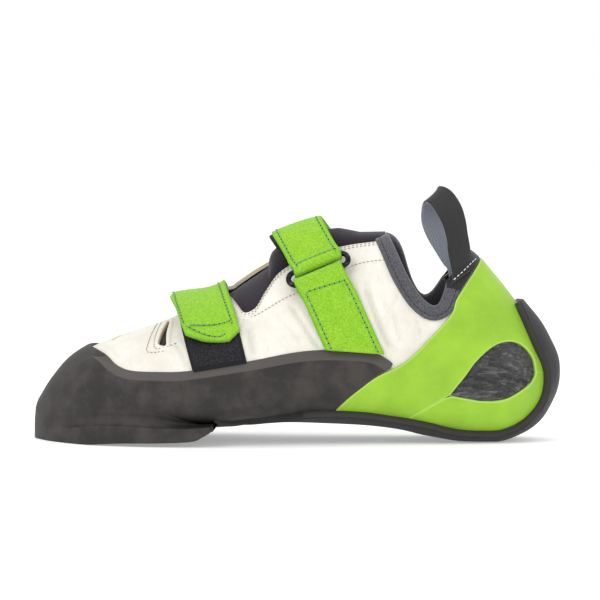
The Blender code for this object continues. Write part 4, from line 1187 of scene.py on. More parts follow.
sling_line = curve(SLING_FRONT)
rand_gap = shifted(curve(SLING_FRONT[:5]), GAP)
rand_gap = rand_gap[rand_gap[:, 0] < RAND_TOP[-1][0]]
rand_top_line = curve(RAND_TOP)[:-1]
before_toe = [(-0.06, -0.1), (-0.06, 0.36)]
rand_outline = np.vstack((rand_top_line, rand_gap[::-1], [(rand_gap[0][0], -0.1)] + before_toe))
rand_edge = region(rand_outline, lift=1.2)
below_top = region(np.vstack((rand_top_line, [(1.2, 0.3), (1.2, -0.1)] + before_toe)), lift=1.2)
rand_data, rand_faces = cut_piece(rand_edge, FINE_EDGE, {"below_top": below_top})
faces_up = step_up(rand_data["normal"][:, 2], 0.68, 0.88)
at_toe = step_up(CROWN_STARTS - along_of(rand_data["at"][:, 0]), 0.0, 0.02)
rand_data["below_top"] = np.maximum(rand_data["below_top"], NO_BEVEL * np.maximum(faces_up, at_toe))
bevel = step_up(rand_data["below_top"], 0.0, BEVEL_WIDTH)
rand_lift = GAP / MM + BEVEL_LIP + (RUBBER / MM - BEVEL_LIP) * bevel
rand_lift += rounded(rand_data["edge"], RAND_ROUND, RAND_ROUND) - RAND_ROUND
dress(raise_piece("toe_rand_rubber", (rand_data, rand_faces), rand_lift, SUNK), "rand_rubber", "toe_rand")

# %% [markdown]
# The green heel rubber is two sheets. The sling runs from the arch over the heel and pulls the foot
# forward, the cup closes the gap below it. They meet in a seam that starts at the arch, passes the
# oval opening and goes on round the back. Most layers of the shoe are made alike, so one function cuts
# the sheet, rounds its edge and sinks it a little into what is under it.

# %% Heel sling and heel cup
def layer(name, field, top, radius, finish, node):
    """A sheet on the last: its face top mm up, its edge rounded."""
    data, faces = cut_piece(field, FINE_EDGE)
    face = top - radius + rounded(data["edge"], radius, radius)
    return dress(raise_piece(name, (data, faces), face, SUNK), finish, node)


RUBBER_FACE, RUBBER_ROUND = (GAP + RUBBER) / MM, 0.7
seam = curve(SLING_SEAM)
window_top, window_bottom = curve(WINDOW[:10]), curve(WINDOW[10:])
sling_outline = np.vstack((
    [(sling_line[0][0], -0.1)], sling_line, [(0.880, 0.930), (1.050, 0.900), CUP_SEAM_BACK[-1]],
    CUP_SEAM_BACK[-2::-1], window_top[::-1][1:], seam[::-1][1:], [(seam[0][0], -0.1)],
))
seam_gap = shifted(seam, GAP)
cup_outline = np.vstack((
    [(seam_gap[0][0], -0.1)], seam_gap[:-1], [(0.806, 0.238)], window_bottom[::-1],
    shifted(CUP_SEAM_BACK, 0.0012), [(1.050, -0.1)],
))
for name, outline, node in (
        ("heel_sling_rubber", sling_outline, "heel_sling"), ("heel_cup_rubber", cup_outline, "heel_cup")):
    layer(name, region(outline, lift=1.5), RUBBER_FACE, RUBBER_ROUND, "green_rubber", node)

# %% [markdown]
# The heel sole is one thick strip of black rubber from the arch round the heel and up its back. Its
# front end is ground thin where it meets the front sole, and it can't reach below the floor.

# %% Heel sole
HEEL_SOLE_FACE, HEEL_SOLE_ROUND = (2 * GAP + RUBBER + SOLE_RUBBER) / MM, 1.4
HEEL_SOLE_START, HEEL_SKIVE_END, HEEL_SKIVE = 0.349, 0.420, 1.7

behind_heel = [(0.960, 0.700), (1.100, 0.500), (1.100, -0.1), (HEEL_SOLE_START, -0.1)]
border = np.vstack((curve(HEEL_RUBBER_BORDER), behind_heel))
heel_data, heel_faces = cut_piece(region(border, lift=4.0), (0.2, 0.5, 1.0, 1.6))
heel_lift = HEEL_SOLE_FACE - HEEL_SOLE_ROUND + rounded(heel_data["edge"], HEEL_SOLE_ROUND, HEEL_SOLE_ROUND)
along_heel = along_of(heel_data["at"][:, 0])
heel_lift = heel_lift - HEEL_SKIVE * (1 - step_up(along_heel, HEEL_SOLE_START, HEEL_SKIVE_END))
heel_sole = raise_piece("heel_sole_rubber", (heel_data, heel_faces), heel_lift, 1.5)
for vertex in heel_sole.data.vertices:
    vertex.co.z = max(vertex.co.z, 0.0)
dress(heel_sole, "sole_rubber", "heel_sole")

# %% [markdown]
# ## Windows and heel pads
# In the oval openings of the heel rubber the leather bulges out in wrinkles. Its mesh is split finer
# than the grid, or the wrinkles would be lost. The pads are short webbing pieces that the pull loop is
# sewn on.

# %% Window panels and heel pads
WINDOW_FOLDS = (
    (1.0, 0.68, ((84.5, 39.5), (95, 36.5), (104, 33.2), (115, 28.8))),
    (0.9, 0.60, ((82, 35.5), (91, 32.8), (98, 30.6), (105, 24.5))),
    (0.8, 0.45, ((87.6, 42.0), (95, 40.3), (107, 35.6), (112, 34.2))),
    (0.8, 0.38, ((79, 30), (88, 29.4), (96, 26.5))),
    (0.7, 0.38, ((99, 29.6), (106.7, 25.6))),
    (0.7, 0.33, ((92, 34.4), (101, 31.6), (108, 28.0))),
)
WINDOW_FACE, WINDOW_SWELL, WINDOW_HIGHEST, PAD_FACE = 0.9, 1.3, 2.5, 1.8
SIDES = ("lateral", "medial")
window = curve(WINDOW + WINDOW[:1])
for side in SIDES:
    window_data, window_faces = refine(cut_piece(region(window, side, 1.2) - 0.1, (0.3, 0.8)), True)
    at = window_data["at"]
    swell = WINDOW_SWELL * step_up(window_data["edge"], 0.0, 9.0) * step_up(at[:, 0], 0.080, 0.098)
    top = np.minimum(WINDOW_FACE + swell + creases(at, WINDOW_FOLDS, side == "medial"), WINDOW_HIGHEST)
    panel = raise_piece("window_leather_" + side, (window_data, window_faces), top, SUNK)
    dress(panel, "black_leather", "window_panel_" + side)
for side in SIDES:
    pad_field = region(HEEL_PAD, side, PAD_FACE)
    layer("heel_pad_webbing_" + side, pad_field, PAD_FACE, 0.3, "webbing", "heel_pad_" + side)

# %% [markdown]
# ## The front strap
# A patch of loop pile is sewn on the forefoot, and a tab of green tape closes on it. The tab doesn't lie
# flat: its front edge stands off the instep, and stand_off gives how far. The seams use it too.

# %% Pile patch and front strap
TAB_THICKNESS, TAB_ROUND, TAB_STAND = 1.8, 0.5, 7.0
layer("pile_patch", region(STRAP_PATCH, "lateral", 1.8), (GAP + TAPE) / MM, 0.4, "loop_pile", "strap_patch")
tab_data, tab_faces = cut_piece(two_sided(TAB_LATERAL, TAB_MEDIAL, 4.0), FINE_EDGE)
tab_floor = (3 * GAP + TAPE) / MM


def stand_off(at, normal):
    """How far the tab stands off the shoe where its front edge crosses the instep, in mm."""
    return TAB_STAND * step_up(normal[:, 2], 0.30, 0.80) * (1 - step_up(at[:, 0], -0.058, -0.034))


tab_base = tab_floor + stand_off(tab_data["at"], tab_data["normal"])
tab_face = tab_base + TAB_THICKNESS - TAB_ROUND + rounded(tab_data["edge"], TAB_ROUND, TAB_ROUND)
tab = raise_piece("front_strap_tape", (tab_data, tab_faces), tab_face, tab_base, closed=True)
dress(tab, "green_tape", "front_strap")

# %% [markdown]
# ## The half sole
# The front sole is a sheet of rubber with its edge ground square to the floor, so it isn't a layer over
# the last. It is built the way the shoemaker trims it: the outline seen from above is walked round from
# the lateral rear end over the toe to the medial rear end, a wall with rounded corners stands on it, and
# a bottom face joins the two sides.

# %% Walk round the sole
SOLE_END, SOLE_STEP = 0.347, 0.0012
end_x = (SOLE_END - 0.5) * LENGTH + SHIFT[0]


def run_length(line):
    """How far along a line each of its points lies."""
    return np.concatenate(([0], np.cumsum(np.linalg.norm(np.diff(line, axis=0), axis=1))))


def even(line, step):
    """Points at even steps along a line."""
    line = np.asarray(line, dtype=float)
    length = run_length(line)
    wanted = np.linspace(0, length[-1], max(int(length[-1] / step), 2) + 1)
    return np.column_stack([np.interp(wanted, length, line[:, k]) for k in range(line.shape[1])])


def relaxed(rows, times):
    """Rows drawn towards their neighbours, both ends held."""
    rows = rows.copy()
    for _ in range(times):
        rows[1:-1] = (rows[:-2] + 2 * rows[1:-1] + rows[2:]) / 4
    return rows


def plan_edge(pick):
    """The rubber's lateral (argmin) or medial (argmax) edge seen from above, from the toe to SOLE_END."""
    keep = int((ALONG[TIP_RINGS:-TIP_RINGS] < SOLE_END + 0.02).sum())
    raised = POINTS + NORMALS * (3 * GAP + RUBBER)
    return np.array([row[pick(row[:, 1]), :2] for row in raised[TIP_RINGS:TIP_RINGS + keep]])


walk = np.vstack((plan_edge(np.argmin)[::-1], plan_edge(np.argmax)))
walk = relaxed(even(walk[walk[:, 0] <= end_x + 0.0004], SOLE_STEP), 6)
ahead = unit(np.gradient(walk, axis=0))
outwards = np.column_stack((ahead[:, 1], -ahead[:, 0]))
if outwards[len(walk) // 2, 0] > 0:
    outwards = -outwards
seam_line, bottom_line = curve(SOLE_SEAM), curve(SOLE_BOTTOM)
seam_z = np.interp(along_of(walk[:, 0]), seam_line[:, 0], seam_line[:, 1]) * INSTEP
floor_z = np.interp(along_of(walk[:, 0]), bottom_line[:, 0], bottom_line[:, 1]) * INSTEP
print("sole outline:", len(walk), "points")

# %% [markdown]
# The sole's top edge runs up the rand as a soft fillet. How far the rand's face lies inside the sole's
# outline is measured on the last's own points, ring by ring, and the fillet's rings follow it. Towards
# the rear the fillet gets lower, and the sole is drawn in to the rand, more so on the inner side.

# %% Follow the rand
rand_face = (POINTS + NORMALS * (GAP + RUBBER)).reshape(-1, 3)
rand_face = rand_face[(rand_face[:, 0] < end_x + 0.004) & (rand_face[:, 2] < 0.035)]


def rand_inset(height):
    """How far the rand's face lies inside the sole's outline at heights above the seam, in mm."""
    found = np.zeros(len(walk))
    for i, (spot, out, z) in enumerate(zip(walk, outwards, seam_z + height * MM)):
        off = rand_face[:, :2] - spot
        beside = np.abs(off @ np.array((-out[1], out[0]))) < 0.0025
        near = beside & (np.abs(rand_face[:, 2] - z) < 0.0012)
        found[i] = -(off[near] @ out).max() / MM if near.any() else 0.5
    return relaxed(found, 16)


from_end = end_x - walk[:, 0]
fillet_height = 0.12 + 0.88 * step_up(from_end, 0.002, 0.034)
inner_side = 0.2 + 0.8 * step_up(walk[:, 1], -0.02, 0.02)
pull = rand_inset(1.0) * inner_side * (1 - step_up(from_end, 0.004, 0.045))
walk = walk - outwards * (pull * MM)[:, None]
print("sole drawn in by up to", round(float(pull.max()), 1), "mm")

# %% Wall of the sole
FILLET = ((9.0, 1.0), (7.0, 1.0), (5.5, 0.95), (4.0, 0.75), (2.6, 0.45), (1.2, 0.2), (0.3, 0.1))
UPPER_CORNER = ((0.2, 0.0), (0.06, -0.25), (0.0, -1.0))
LOWER_CORNER = (
    (0.0, 1.9), (0.02, 1.45), (-0.04, 1.2), (0.0, 0.9), (0.1, 0.45), (0.35, 0.12), (0.9, 0.0), (2.5, 0.0),
)
rings = []
for height, share in FILLET:
    here = height * fillet_height
    inset = rand_inset(here) * share + (0.5 if height == FILLET[0][0] else -0.04)
    rings.append(np.column_stack((walk - outwards * (inset * MM)[:, None], seam_z + here * MM)))
for start_z, corner in ((seam_z, UPPER_CORNER), (floor_z, LOWER_CORNER)):
    for inset, rise in corner:
        ring_z = np.maximum(start_z + rise * MM, floor_z)
        rings.append(np.column_stack((walk - outwards * inset * MM, ring_z)))
rings = np.array(rings)
around = len(walk)
sole_faces = [(a, a + around, a + around + 1, a + 1)
              for k in range(len(rings) - 1) for a in range(k * around, (k + 1) * around - 1)]
print(len(rings), "rings round the sole")

# %% Bottom and rear end of the sole
CROSS_STEPS = 12
sole_verts = list(rings.reshape(-1, 3))
last_ring = (len(rings) - 1) * around
cross_rows = []
for s in range(around // 2):
    left, right = last_ring + s, last_ring + around - 1 - s
    row = [left]
    for t in np.linspace(0, 1, CROSS_STEPS)[1:-1]:
        row.append(len(sole_verts))
        sole_verts.append(sole_verts[left] * (1 - t) + sole_verts[right] * t)
    cross_rows.append(row + [right])
end_row = []
for index in cross_rows[0]:
    end_row.append(len(sole_verts))
    x, y, _ = sole_verts[index]
    sole_verts.append(np.array((x + 0.002, y * 0.92, seam_z[0] + 0.0005)))
for near_row, far_row in zip(cross_rows, cross_rows[1:]):
    for k in range(CROSS_STEPS - 1):
        sole_faces.append((near_row[k], near_row[k + 1], far_row[k + 1], far_row[k]))
for k in range(CROSS_STEPS - 1):
    sole_faces.append((cross_rows[0][k], end_row[k], end_row[k + 1], cross_rows[0][k + 1]))
dress(mesh_piece("front_sole_rubber", sole_verts, sole_faces), "front_rubber", "outsole_front")

# %% [markdown]
# ## Bands of tape and felt
# Tape, felt and webbing are bands: a row of points across, repeated along a path, thickened to both
# sides with rounded edges. A band also carries its own coordinates in millimetres, along and across, so
# that a weave can run with it wherever it bends.

# %% Thicken a band
RIM_STEPS = (0.1, 0.35, 0.7, 1.0)


def band_grid(rows, radius):
    """The band's rows with extra columns near both edges, and each column's place across in mm."""
    steps = np.linalg.norm(np.diff(rows, axis=1), axis=2)
    width = steps.sum(axis=1).mean() / MM
    across = np.concatenate(([0], np.cumsum(steps.mean(axis=0)))) / MM
    places = {*across.tolist(), *(r * radius for r in RIM_STEPS), *(width - r * radius for r in RIM_STEPS)}
    places = np.array(sorted(places))
    fine = np.empty((len(rows), len(places), 3))
    for k in range(3):
        for i in range(len(rows)):
            fine[i, :, k] = np.interp(places, across, rows[i, :, k])
    return fine, places, width


def band_faces(n, m):
    """Faces of a closed band of n rows and m columns, the outer face's and the inner face's in turn."""
    def low(i, j):
        return i * m + j if j in (0, m - 1) else n * m + i * (m - 2) + j - 1

    faces = []
    for i in range(n - 1):
        for j in range(m - 1):
            faces.append((i * m + j, i * m + j + 1, (i + 1) * m + j + 1, (i + 1) * m + j))
            faces.append((low(i, j), low(i + 1, j), low(i + 1, j + 1), low(i, j + 1)))
    for i, turned in ((0, False), (n - 1, True)):
        for j in range(m - 1):
            quad = list(dict.fromkeys((i * m + j, low(i, j), low(i, j + 1), i * m + j + 1)))
            if len(quad) > 2:
                faces.append(tuple(quad[::-1] if turned else quad))
    return faces


# %% [markdown]
# The band's thickness shrinks to nothing at both edges along a quarter circle, which is what a cut tape
# looks like. The pull loop shows both faces of its webbing, so a band can have a second finish.

# %% Band maker
def band(name, rows, thickness, radius, finish, nodes=(), back=None):
    """A closed band through rows of points (path, across, xyz)."""
    fine, places, width = band_grid(rows, radius)
    normal = np.cross(np.gradient(fine, axis=0), np.gradient(fine, places, axis=1))
    normal /= np.maximum(np.linalg.norm(normal, axis=2, keepdims=True), 1e-12)
    edge = np.minimum(places, width - places)
    rim = np.sqrt(np.clip(1 - (1 - edge / radius) ** 2, 0, 1))
    half = (thickness / 2 * np.where(edge < radius, rim, 1.0))[None, :, None]
    outer, inner = fine + normal * half, fine - normal * half
    n, m = fine.shape[:2]
    verts = np.vstack((outer.reshape(-1, 3), inner[:, 1:-1].reshape(-1, 3)))
    steps = np.linalg.norm(np.diff(fine, axis=0), axis=2).mean(axis=1)
    length = np.concatenate(([0], np.cumsum(steps))) / MM
    cross = np.concatenate((np.tile(places, n), np.tile(places[1:-1], n)))
    numbers = {"run": np.concatenate((np.repeat(length, m), np.repeat(length, m - 2))), "cross": cross,
               "edge": np.minimum(cross, width - cross)}
    piece = dress(mesh_piece(name, verts, band_faces(n, m), numbers), finish, *nodes)
    path = run_length(rows.mean(axis=1))[-1] / MM
    print(f"{name}: {path:.0f} mm long, {width:.0f} mm wide, {thickness / MM:.1f} mm thick")
    if back:
        piece.data.materials.append(FINISH[back][0])
        behind = np.zeros(len(piece.data.polygons), dtype=np.int32)
        behind[0:2 * (n - 1) * (m - 1):2] = 1
        piece.data.polygons.foreach_set("material_index", behind)
    return piece


def resample(path, step):
    """Evenly spaced rows along a path of rows."""
    length = run_length(path.mean(axis=1))
    wanted = np.linspace(0, length[-1], int(length[-1] / step) + 2)
    flat = path.reshape(len(path), -1)
    made = np.column_stack([np.interp(wanted, length, flat[:, k]) for k in range(flat.shape[1])])
    return made.reshape(len(wanted), *path.shape[1:])


def mix(first, second, share):
    """A pair or point at a share of the way from the first to the second."""
    return np.array(first) * (1 - share) + np.array(second) * share


# %% [markdown]
# ## The instep strap
# The strap comes from the medial side, goes through a metal ring and folds back on itself. The ring is
# held by a short tape on the lateral side that folds round its lower bar. So the ring's place decides
# both tapes: at each end of it the code takes the surface point, the way out and the way up the girth.

# %% Ring frames
RING_WIDTH, RING_LENGTH, RING_WIRE = 0.0106, 0.0340, 0.0027
TONGUE_THICKNESS = 0.0032
RING_LIFT = 3 * GAP + 1.5 * TAPE + RING_WIRE / 2 + 0.4 * RING_WIRE
BAR = (RING_WIDTH - RING_WIRE) / 2


def ring_frame(end):
    """Surface point, outward normal and upward girth direction at one end of the ring."""
    turn = float(turn_at(*end))
    spot, normal = on_last(end[0], turn)
    up = on_last(end[0], turn - 0.01)[0] - spot
    return spot, normal, unit(up - normal * (up @ normal))


RING_FRAMES = (ring_frame(RING_FRONT), ring_frame(RING_REAR))


def fold_arc(upward, share):
    """Middle line of a tape round the ring's upper (1) or lower (-1) bar, at a share of its length."""
    spot, normal, up = (mix(first, second, share) for first, second in zip(*RING_FRAMES))
    normal, up = unit(normal), unit(up)
    radius = RING_WIRE / 2 + 2 * GAP + TAPE / 2
    points = []
    for degrees in np.linspace(-90, -270, 13):
        angle = math.radians(degrees)
        beside = BAR * upward + upward * radius * math.cos(angle)
        points.append(spot + up * beside + normal * (RING_LIFT + radius * math.sin(angle)))
    return points


print("ring", RING_LENGTH / MM, "mm long,", RING_WIDTH / MM, "mm wide")

# %% Rear strap
STRAP_STEP, STRAP_ROUND, TABLE_STEPS, MEDIAL_FOOT = 0.0011, 0.5, 5, -0.99


def strap_edges(share):
    """Middle line of the rear strap at a share of its width from the front edge."""
    ring_turn = mix(float(turn_at(*RING_FRONT)), float(turn_at(*RING_REAR)), share)
    table = curve(REAR_STRAP, TABLE_STEPS)
    table = table[table[:, 0] <= REAR_STRAP[-1, 0] + 1e-9]
    inner, outer = [], []
    for turn, front, rear, lift_share in table:
        along = mix(front, rear, share)
        place = turn * (ring_turn if turn > 0 else STRAP_MEDIAL_END * ring_turn / 0.5)
        lift_here = lift_share * TONGUE_THICKNESS + TAPE
        inner.append(on_last(along, place, lift_here)[0])
        if turn > MEDIAL_FOOT:
            outer.append(on_last(along, place, lift_here + TAPE + GAP)[0])
    return np.array(inner + fold_arc(1, share) + outer[::-1])


shares = np.linspace(0, 1, 13)
strap_lines = np.array([strap_edges(s) for s in shares]).transpose(1, 0, 2)
strap_rows = relaxed(resample(strap_lines, STRAP_STEP), 3)
band("rear_strap_tape", strap_rows, TAPE, STRAP_ROUND, "green_tape", ("rear_strap",))

# %% [markdown]
# Under the strap's free end lies the hook half of the closure. It is a thin band that follows the
# strap's own rows, a little wider at the front so that its pile shows past the tape's edge.

# %% Hook layer under the strap's free end
HOOK_PAST, HOOK_SUNK, HOOK_THICKNESS = 0.06, 0.0009, 0.0008
past_edge = strap_edges(HOOK_PAST) - strap_edges(0.0)
hook_lines = []
for share in np.linspace(-HOOK_PAST, 0.97, 12):
    line = strap_edges(max(share, 0.0))
    hook_lines.append(line + past_edge * min(share / HOOK_PAST, 0.0))
hook_lines = np.array(hook_lines).transpose(1, 0, 2)
free_rows = int((curve(REAR_STRAP, TABLE_STEPS)[:, 0] > MEDIAL_FOOT).sum()) - 2
hook_rows = resample(hook_lines[-free_rows:], 0.0015)
hook_normal = unit(np.cross(np.gradient(hook_rows, axis=0), np.gradient(hook_rows, axis=1)))
side_sign = np.sign(hook_rows[:, :, 1] - SHIFT[1])
outward_sign = np.sign((hook_normal[:, :, 2] + hook_normal[:, :, 1] * side_sign * 0.5).mean())
hook_rows = hook_rows - hook_normal * outward_sign * HOOK_SUNK
band("strap_hooks", hook_rows, HOOK_THICKNESS, 0.3, "loop_pile")


# %% Anchor tape
def anchor_edges(share):
    """Middle line of the short tape under the ring."""
    ring_end = mix(RING_FRONT, RING_REAR, share)
    foot = mix(ANCHOR_FRONT, ANCHOR_REAR, share)
    inner, outer = [], []
    lift_here = TAPE / 2 + 3.5 * GAP
    for part in np.linspace(-0.02, 0.7, 14):
        place = foot + (ring_end - foot) * part
        turn = turn_at(place[0], place[1])
        inner.append(on_last(place[0], turn, lift_here)[0])
        outer.append(on_last(place[0], turn, lift_here + TAPE + GAP)[0])
    return np.array(inner + fold_arc(-1, share) + outer[::-1])


anchor_lines = np.array([anchor_edges(s) for s in shares]).transpose(1, 0, 2)
anchor_rows = relaxed(resample(anchor_lines, STRAP_STEP), 3)
band("anchor_tape", anchor_rows, TAPE, STRAP_ROUND, "green_tape", ("strap_anchor",))

# %% [markdown]
# ## Wires and rims
# The ring is bent wire: a circle carried along a long oval, with its own sideways and outward
# directions at each point. The path is a circle whose two halves are pushed apart.

# %% Strap ring
front, rear = RING_FRAMES
ring_normal = unit(front[1] + rear[1])
ring_middle = (front[0] + rear[0]) / 2 + ring_normal * RING_LIFT
ring_length = unit(rear[0] + rear[1] * RING_LIFT - front[0] - front[1] * RING_LIFT)
ring_up = front[2] + rear[2]
ring_up = unit(ring_up - ring_length * (ring_up @ ring_length))
ring_out = np.cross(ring_length, ring_up)
straight = (RING_LENGTH - RING_WIDTH) / 2
turns = np.linspace(0, 2 * math.pi, 96, endpoint=False)
ring_run = straight * np.tanh(np.cos(turns) * 6) + BAR * np.cos(turns)
ring_path = ring_middle + np.outer(ring_run, ring_length) + np.outer(BAR * np.sin(turns), ring_up)
ring_ahead = unit(np.roll(ring_path, -1, axis=0) - np.roll(ring_path, 1, axis=0))
ring_aside = np.cross(ring_ahead, ring_out)
wire_turns = np.linspace(0, 2 * math.pi, 16, endpoint=False)
wire = np.column_stack((np.cos(wire_turns), np.sin(wire_turns))) * RING_WIRE / 2
ring_verts = ring_path[:, None] + ring_aside[:, None] * wire[None, :, :1] + ring_out * wire[None, :, 1:]
ring_faces = []
m = len(wire)
for i in range(len(turns)):
    after = (i + 1) % len(turns)
    for j in range(m):
        k = (j + 1) % m
        ring_faces.append((i * m + j, after * m + j, after * m + k, i * m + k))
dress(mesh_piece("ring_wire", ring_verts.reshape(-1, 3), ring_faces), "gunmetal", "strap_ring")

# %% [markdown]
# The collar's edge is bound with a strip of felt that is folded over it and sewn through. Its profile is
# walked from the outer flap over the rim to the inner flap: each pair is how far below the edge a point
# lies and how far out of the last. The notch in the outer flap is where the seam pulls the felt in.

# %% Collar binding
BINDING_PROFILE = (
    (6.6, 0.15), (6.55, 0.9), (6.25, 1.45), (5.6, 1.62), (4.9, 1.58), (4.5, 1.35), (4.3, 1.12), (4.1, 1.35),
    (3.7, 1.62), (2.6, 1.75), (1.3, 1.8), (0.3, 1.6), (-0.5, 1.0), (-0.95, 0.0), (-1.1, -1.0), (-0.95, -2.0),
    (-0.5, -3.0), (0.3, -3.5), (1.5, -3.7), (3.5, -3.7), (5.6, -3.6), (6.4, -3.2), (6.6, -2.4),
)
COLLAR_FRONT, BACK_END_HEIGHT = (0.6845, 0.997), 0.79


def binding_line(collar_line):
    """The collar's edge from its front end to where the binding stops at the back."""
    dip = min(collar_line, key=lambda row: row[1])[0]
    line = curve((COLLAR_FRONT,) + collar_line[:-1], 8)
    line = np.array([p for p in line if p[0] < dip or p[1] < BACK_END_HEIGHT])
    return relaxed(to_shares(even(to_metres(line), 0.0012)), 4)


def binding(side, line):
    """Felt strip folded over the collar's edge."""
    medial = side == "medial"
    below = on_side(shifted(line, -0.5 * MM), 0, medial)[0]
    away = on_side(line, 0, medial)[0] - below
    away /= np.maximum(np.linalg.norm(away, axis=1, keepdims=True), 1e-9)
    columns = []
    for inset, lift_mm in BINDING_PROFILE:
        at = on_side(shifted(line, -max(inset, 0.0) * MM), lift_mm * MM, medial)[0]
        columns.append(at + away * (max(-inset, 0.0) * MM))
    grid = np.array(columns).transpose(1, 0, 2)
    n, m = grid.shape[:2]
    faces = []
    for i in range(n - 1):
        for j in range(m):
            k = (j + 1) % m
            faces.append((i * m + j, i * m + k, (i + 1) * m + k, (i + 1) * m + j))
    faces += [tuple(range(m))[::-1], tuple(range((n - 1) * m, n * m))]
    piece = mesh_piece("collar_felt_" + side, grid.reshape(-1, 3), faces)
    dress(piece, "felt", "collar_binding_" + side)


binding_lines = {"lateral": binding_line(COLLAR_LATERAL), "medial": binding_line(COLLAR_MEDIAL)}
for side, line in binding_lines.items():
    binding(side, line)

# %% [markdown]
# ## The tongue
# The tongue is a padded pad that lies under the leather and swells up into the throat. Each row of it is
# laid across the throat: its sides stay under the leather, its middle rises by a share of the pad's
# thickness that changes along the foot. It yields when it is pressed.

# %% Tongue
TONGUE_FROM, TONGUE_TO, TONGUE_ROUND = 0.300, 0.680, 1.2
SWELL_PLACES = (0.375, 0.448, 0.466, 0.49, 0.59, 0.63, 0.680)
SWELL_SHARES = (-0.7, -0.5, 1.0, 1.6, 1.3, 0.25, 0.02)
CLOSED_THROAT = (0.03, 0.03)
KERNEL = np.array((1, 4, 6, 4, 1)) / 16


def tongue_row(along):
    """A row of points across the middle of the padded tongue."""
    under = -(WALL + 4 * GAP)
    open_here = along > THROAT[1, 0]
    lateral, medial = (float(throat_turns(along, k)) for k in (1, 2)) if open_here else CLOSED_THROAT
    swell = TONGUE_THICKNESS * float(np.interp(along, SWELL_PLACES, SWELL_SHARES))
    flat = swell <= 0 or not open_here
    high, slope = (under, under) if flat else (swell, 0.6 * swell)
    places = [-medial - 0.050, -medial - 0.022, -medial + 0.002, -medial + 0.014, (lateral - medial) / 2,
              lateral - 0.014, lateral - 0.002, lateral + 0.022, lateral + 0.050]
    lifts = [under, under, under, slope, high, slope, under, under, under]
    turns_here = np.linspace(places[0], places[-1], 49)
    order = np.maximum.accumulate(np.array(places) + np.arange(9) * 1e-6)
    heights = np.interp(turns_here, order, lifts)
    for _ in range(2):
        heights[2:-2] = np.convolve(heights, KERNEL, "valid")
    return on_last(along, turns_here, heights - TONGUE_THICKNESS / 2)[0]


tongue_grid = np.array([tongue_row(along) for along in np.linspace(TONGUE_FROM, TONGUE_TO, 122)])
tongue = band("tongue_pad", tongue_grid, TONGUE_THICKNESS, TONGUE_ROUND, "lining", ("tongue",))

# %% [markdown]
# ## The pull loop
# The loop is one webbing that starts on the heel pad, stands up in a bow and goes down into the shoe.
# Only the front and rear edge of the bow were read from the photograph: each row of the table holds the
# front edge's place (along, up), the rear edge's place, and how far the bow has crossed inwards, as
# shares of the loop's size. The rows across are mixed from the two.

# %% Pull loop
LOOP_SIZE, LOOP_THICKNESS = 0.0465, 0.0013
LOOP_FOOT = ((0.802, 0.765), (0.838, 0.823))
LOOP_RIM = ((0.806, 0.800), (0.839, 0.858))
LOOP = np.array((
    (-0.06, 0.25, -0.04, 0.16, -0.06), (-0.07, 0.38, -0.06, 0.30, -0.05),
    (-0.10, 0.52, -0.06, 0.44, -0.01), (-0.15, 0.65, -0.07, 0.59, 0.06),
    (-0.20, 0.75, -0.11, 0.73, 0.16), (-0.24, 0.78, -0.17, 0.79, 0.24),
    (-0.26, 0.72, -0.18, 0.76, 0.32), (-0.26, 0.57, -0.12, 0.56, 0.38),
    (-0.21, 0.41, -0.09, 0.38, 0.36), (-0.13, 0.26, -0.07, 0.24, 0.31),
    (-0.06, 0.13, -0.05, 0.13, 0.25), (-0.01, 0.05, -0.03, 0.05, 0.21),
))


def loop_line(share):
    """Middle line of the webbing at a share of its width from the front edge."""
    foot, top = mix(*LOOP_FOOT, share), mix(*LOOP_RIM, share)
    lift_here = 3 * GAP + TAPE + LOOP_THICKNESS / 2
    inside = -(WALL + 5 * GAP + LOOP_THICKNESS / 2)
    rim_point = on_last(top[0], turn_at(*top), lift_here)[0]
    inward = on_last(top[0], turn_at(*top))[0] - rim_point
    inward = unit(np.array((inward[0], inward[1], 0)))
    line = [on_last(foot[0], turn_at(*foot), lift_here)[0], rim_point]
    for row in LOOP:
        aside, rise = mix(row[:2], row[2:4], share)
        line.append(rim_point + LOOP_SIZE * (np.array((aside, 0, rise)) + inward * row[4]))
    line += [on_last(top[0], turn_at(top[0], top[1] - 0.03), inside - 2 * GAP)[0],
             on_last(foot[0], turn_at(*foot), inside)[0]]
    return curve(np.array(line), 6)


loop_lines = np.array([loop_line(s) for s in np.linspace(0, 1, 11)]).transpose(1, 0, 2)
loop_rows = resample(loop_lines, 0.0008)
band("pull_loop_webbing", loop_rows, LOOP_THICKNESS, 0.4, "webbing", ("pull_loop",), "webbing_back")

# %% [markdown]
# The insole lies inside and can hardly be seen. Its solid from the CAD stays as it is and only gets a
# cloth finish.

# %% Insole
insole = bpy.data.objects["insole"]
insole.data.materials.clear()
insole.data.materials.append(FINISH["insole_cloth"][0])
print("insole keeps its solid,", len(insole.data.polygons), "faces")

# %% [markdown]
# ## Stitches
# Sewing is what the eye looks for on a shoe. Every stitch is a short thread that rises out of its hole
# and dips into the next, so each one is a small spindle laid along the seam. All the stitches of one
# thread are a single mesh. On the tape the needle holes show too, as small dark discs of painted shade.

# %% Places of the stitches
def seam_frames(spots, normals, pitch):
    """Evenly spaced places on a seam, with the directions along it and out of the surface."""
    length = run_length(spots)
    count = max(int(length[-1] / pitch), 1)
    wanted = (np.arange(count) + 0.5) * length[-1] / count

    def places(values, move=0.0):
        return np.column_stack([np.interp(wanted + move, length, values[:, k]) for k in range(3)])

    ahead = unit(places(spots, pitch / 3) - places(spots, -pitch / 3))
    out = places(normals)
    out -= ahead * (out * ahead).sum(axis=1, keepdims=True)
    return places(spots), ahead, unit(out)


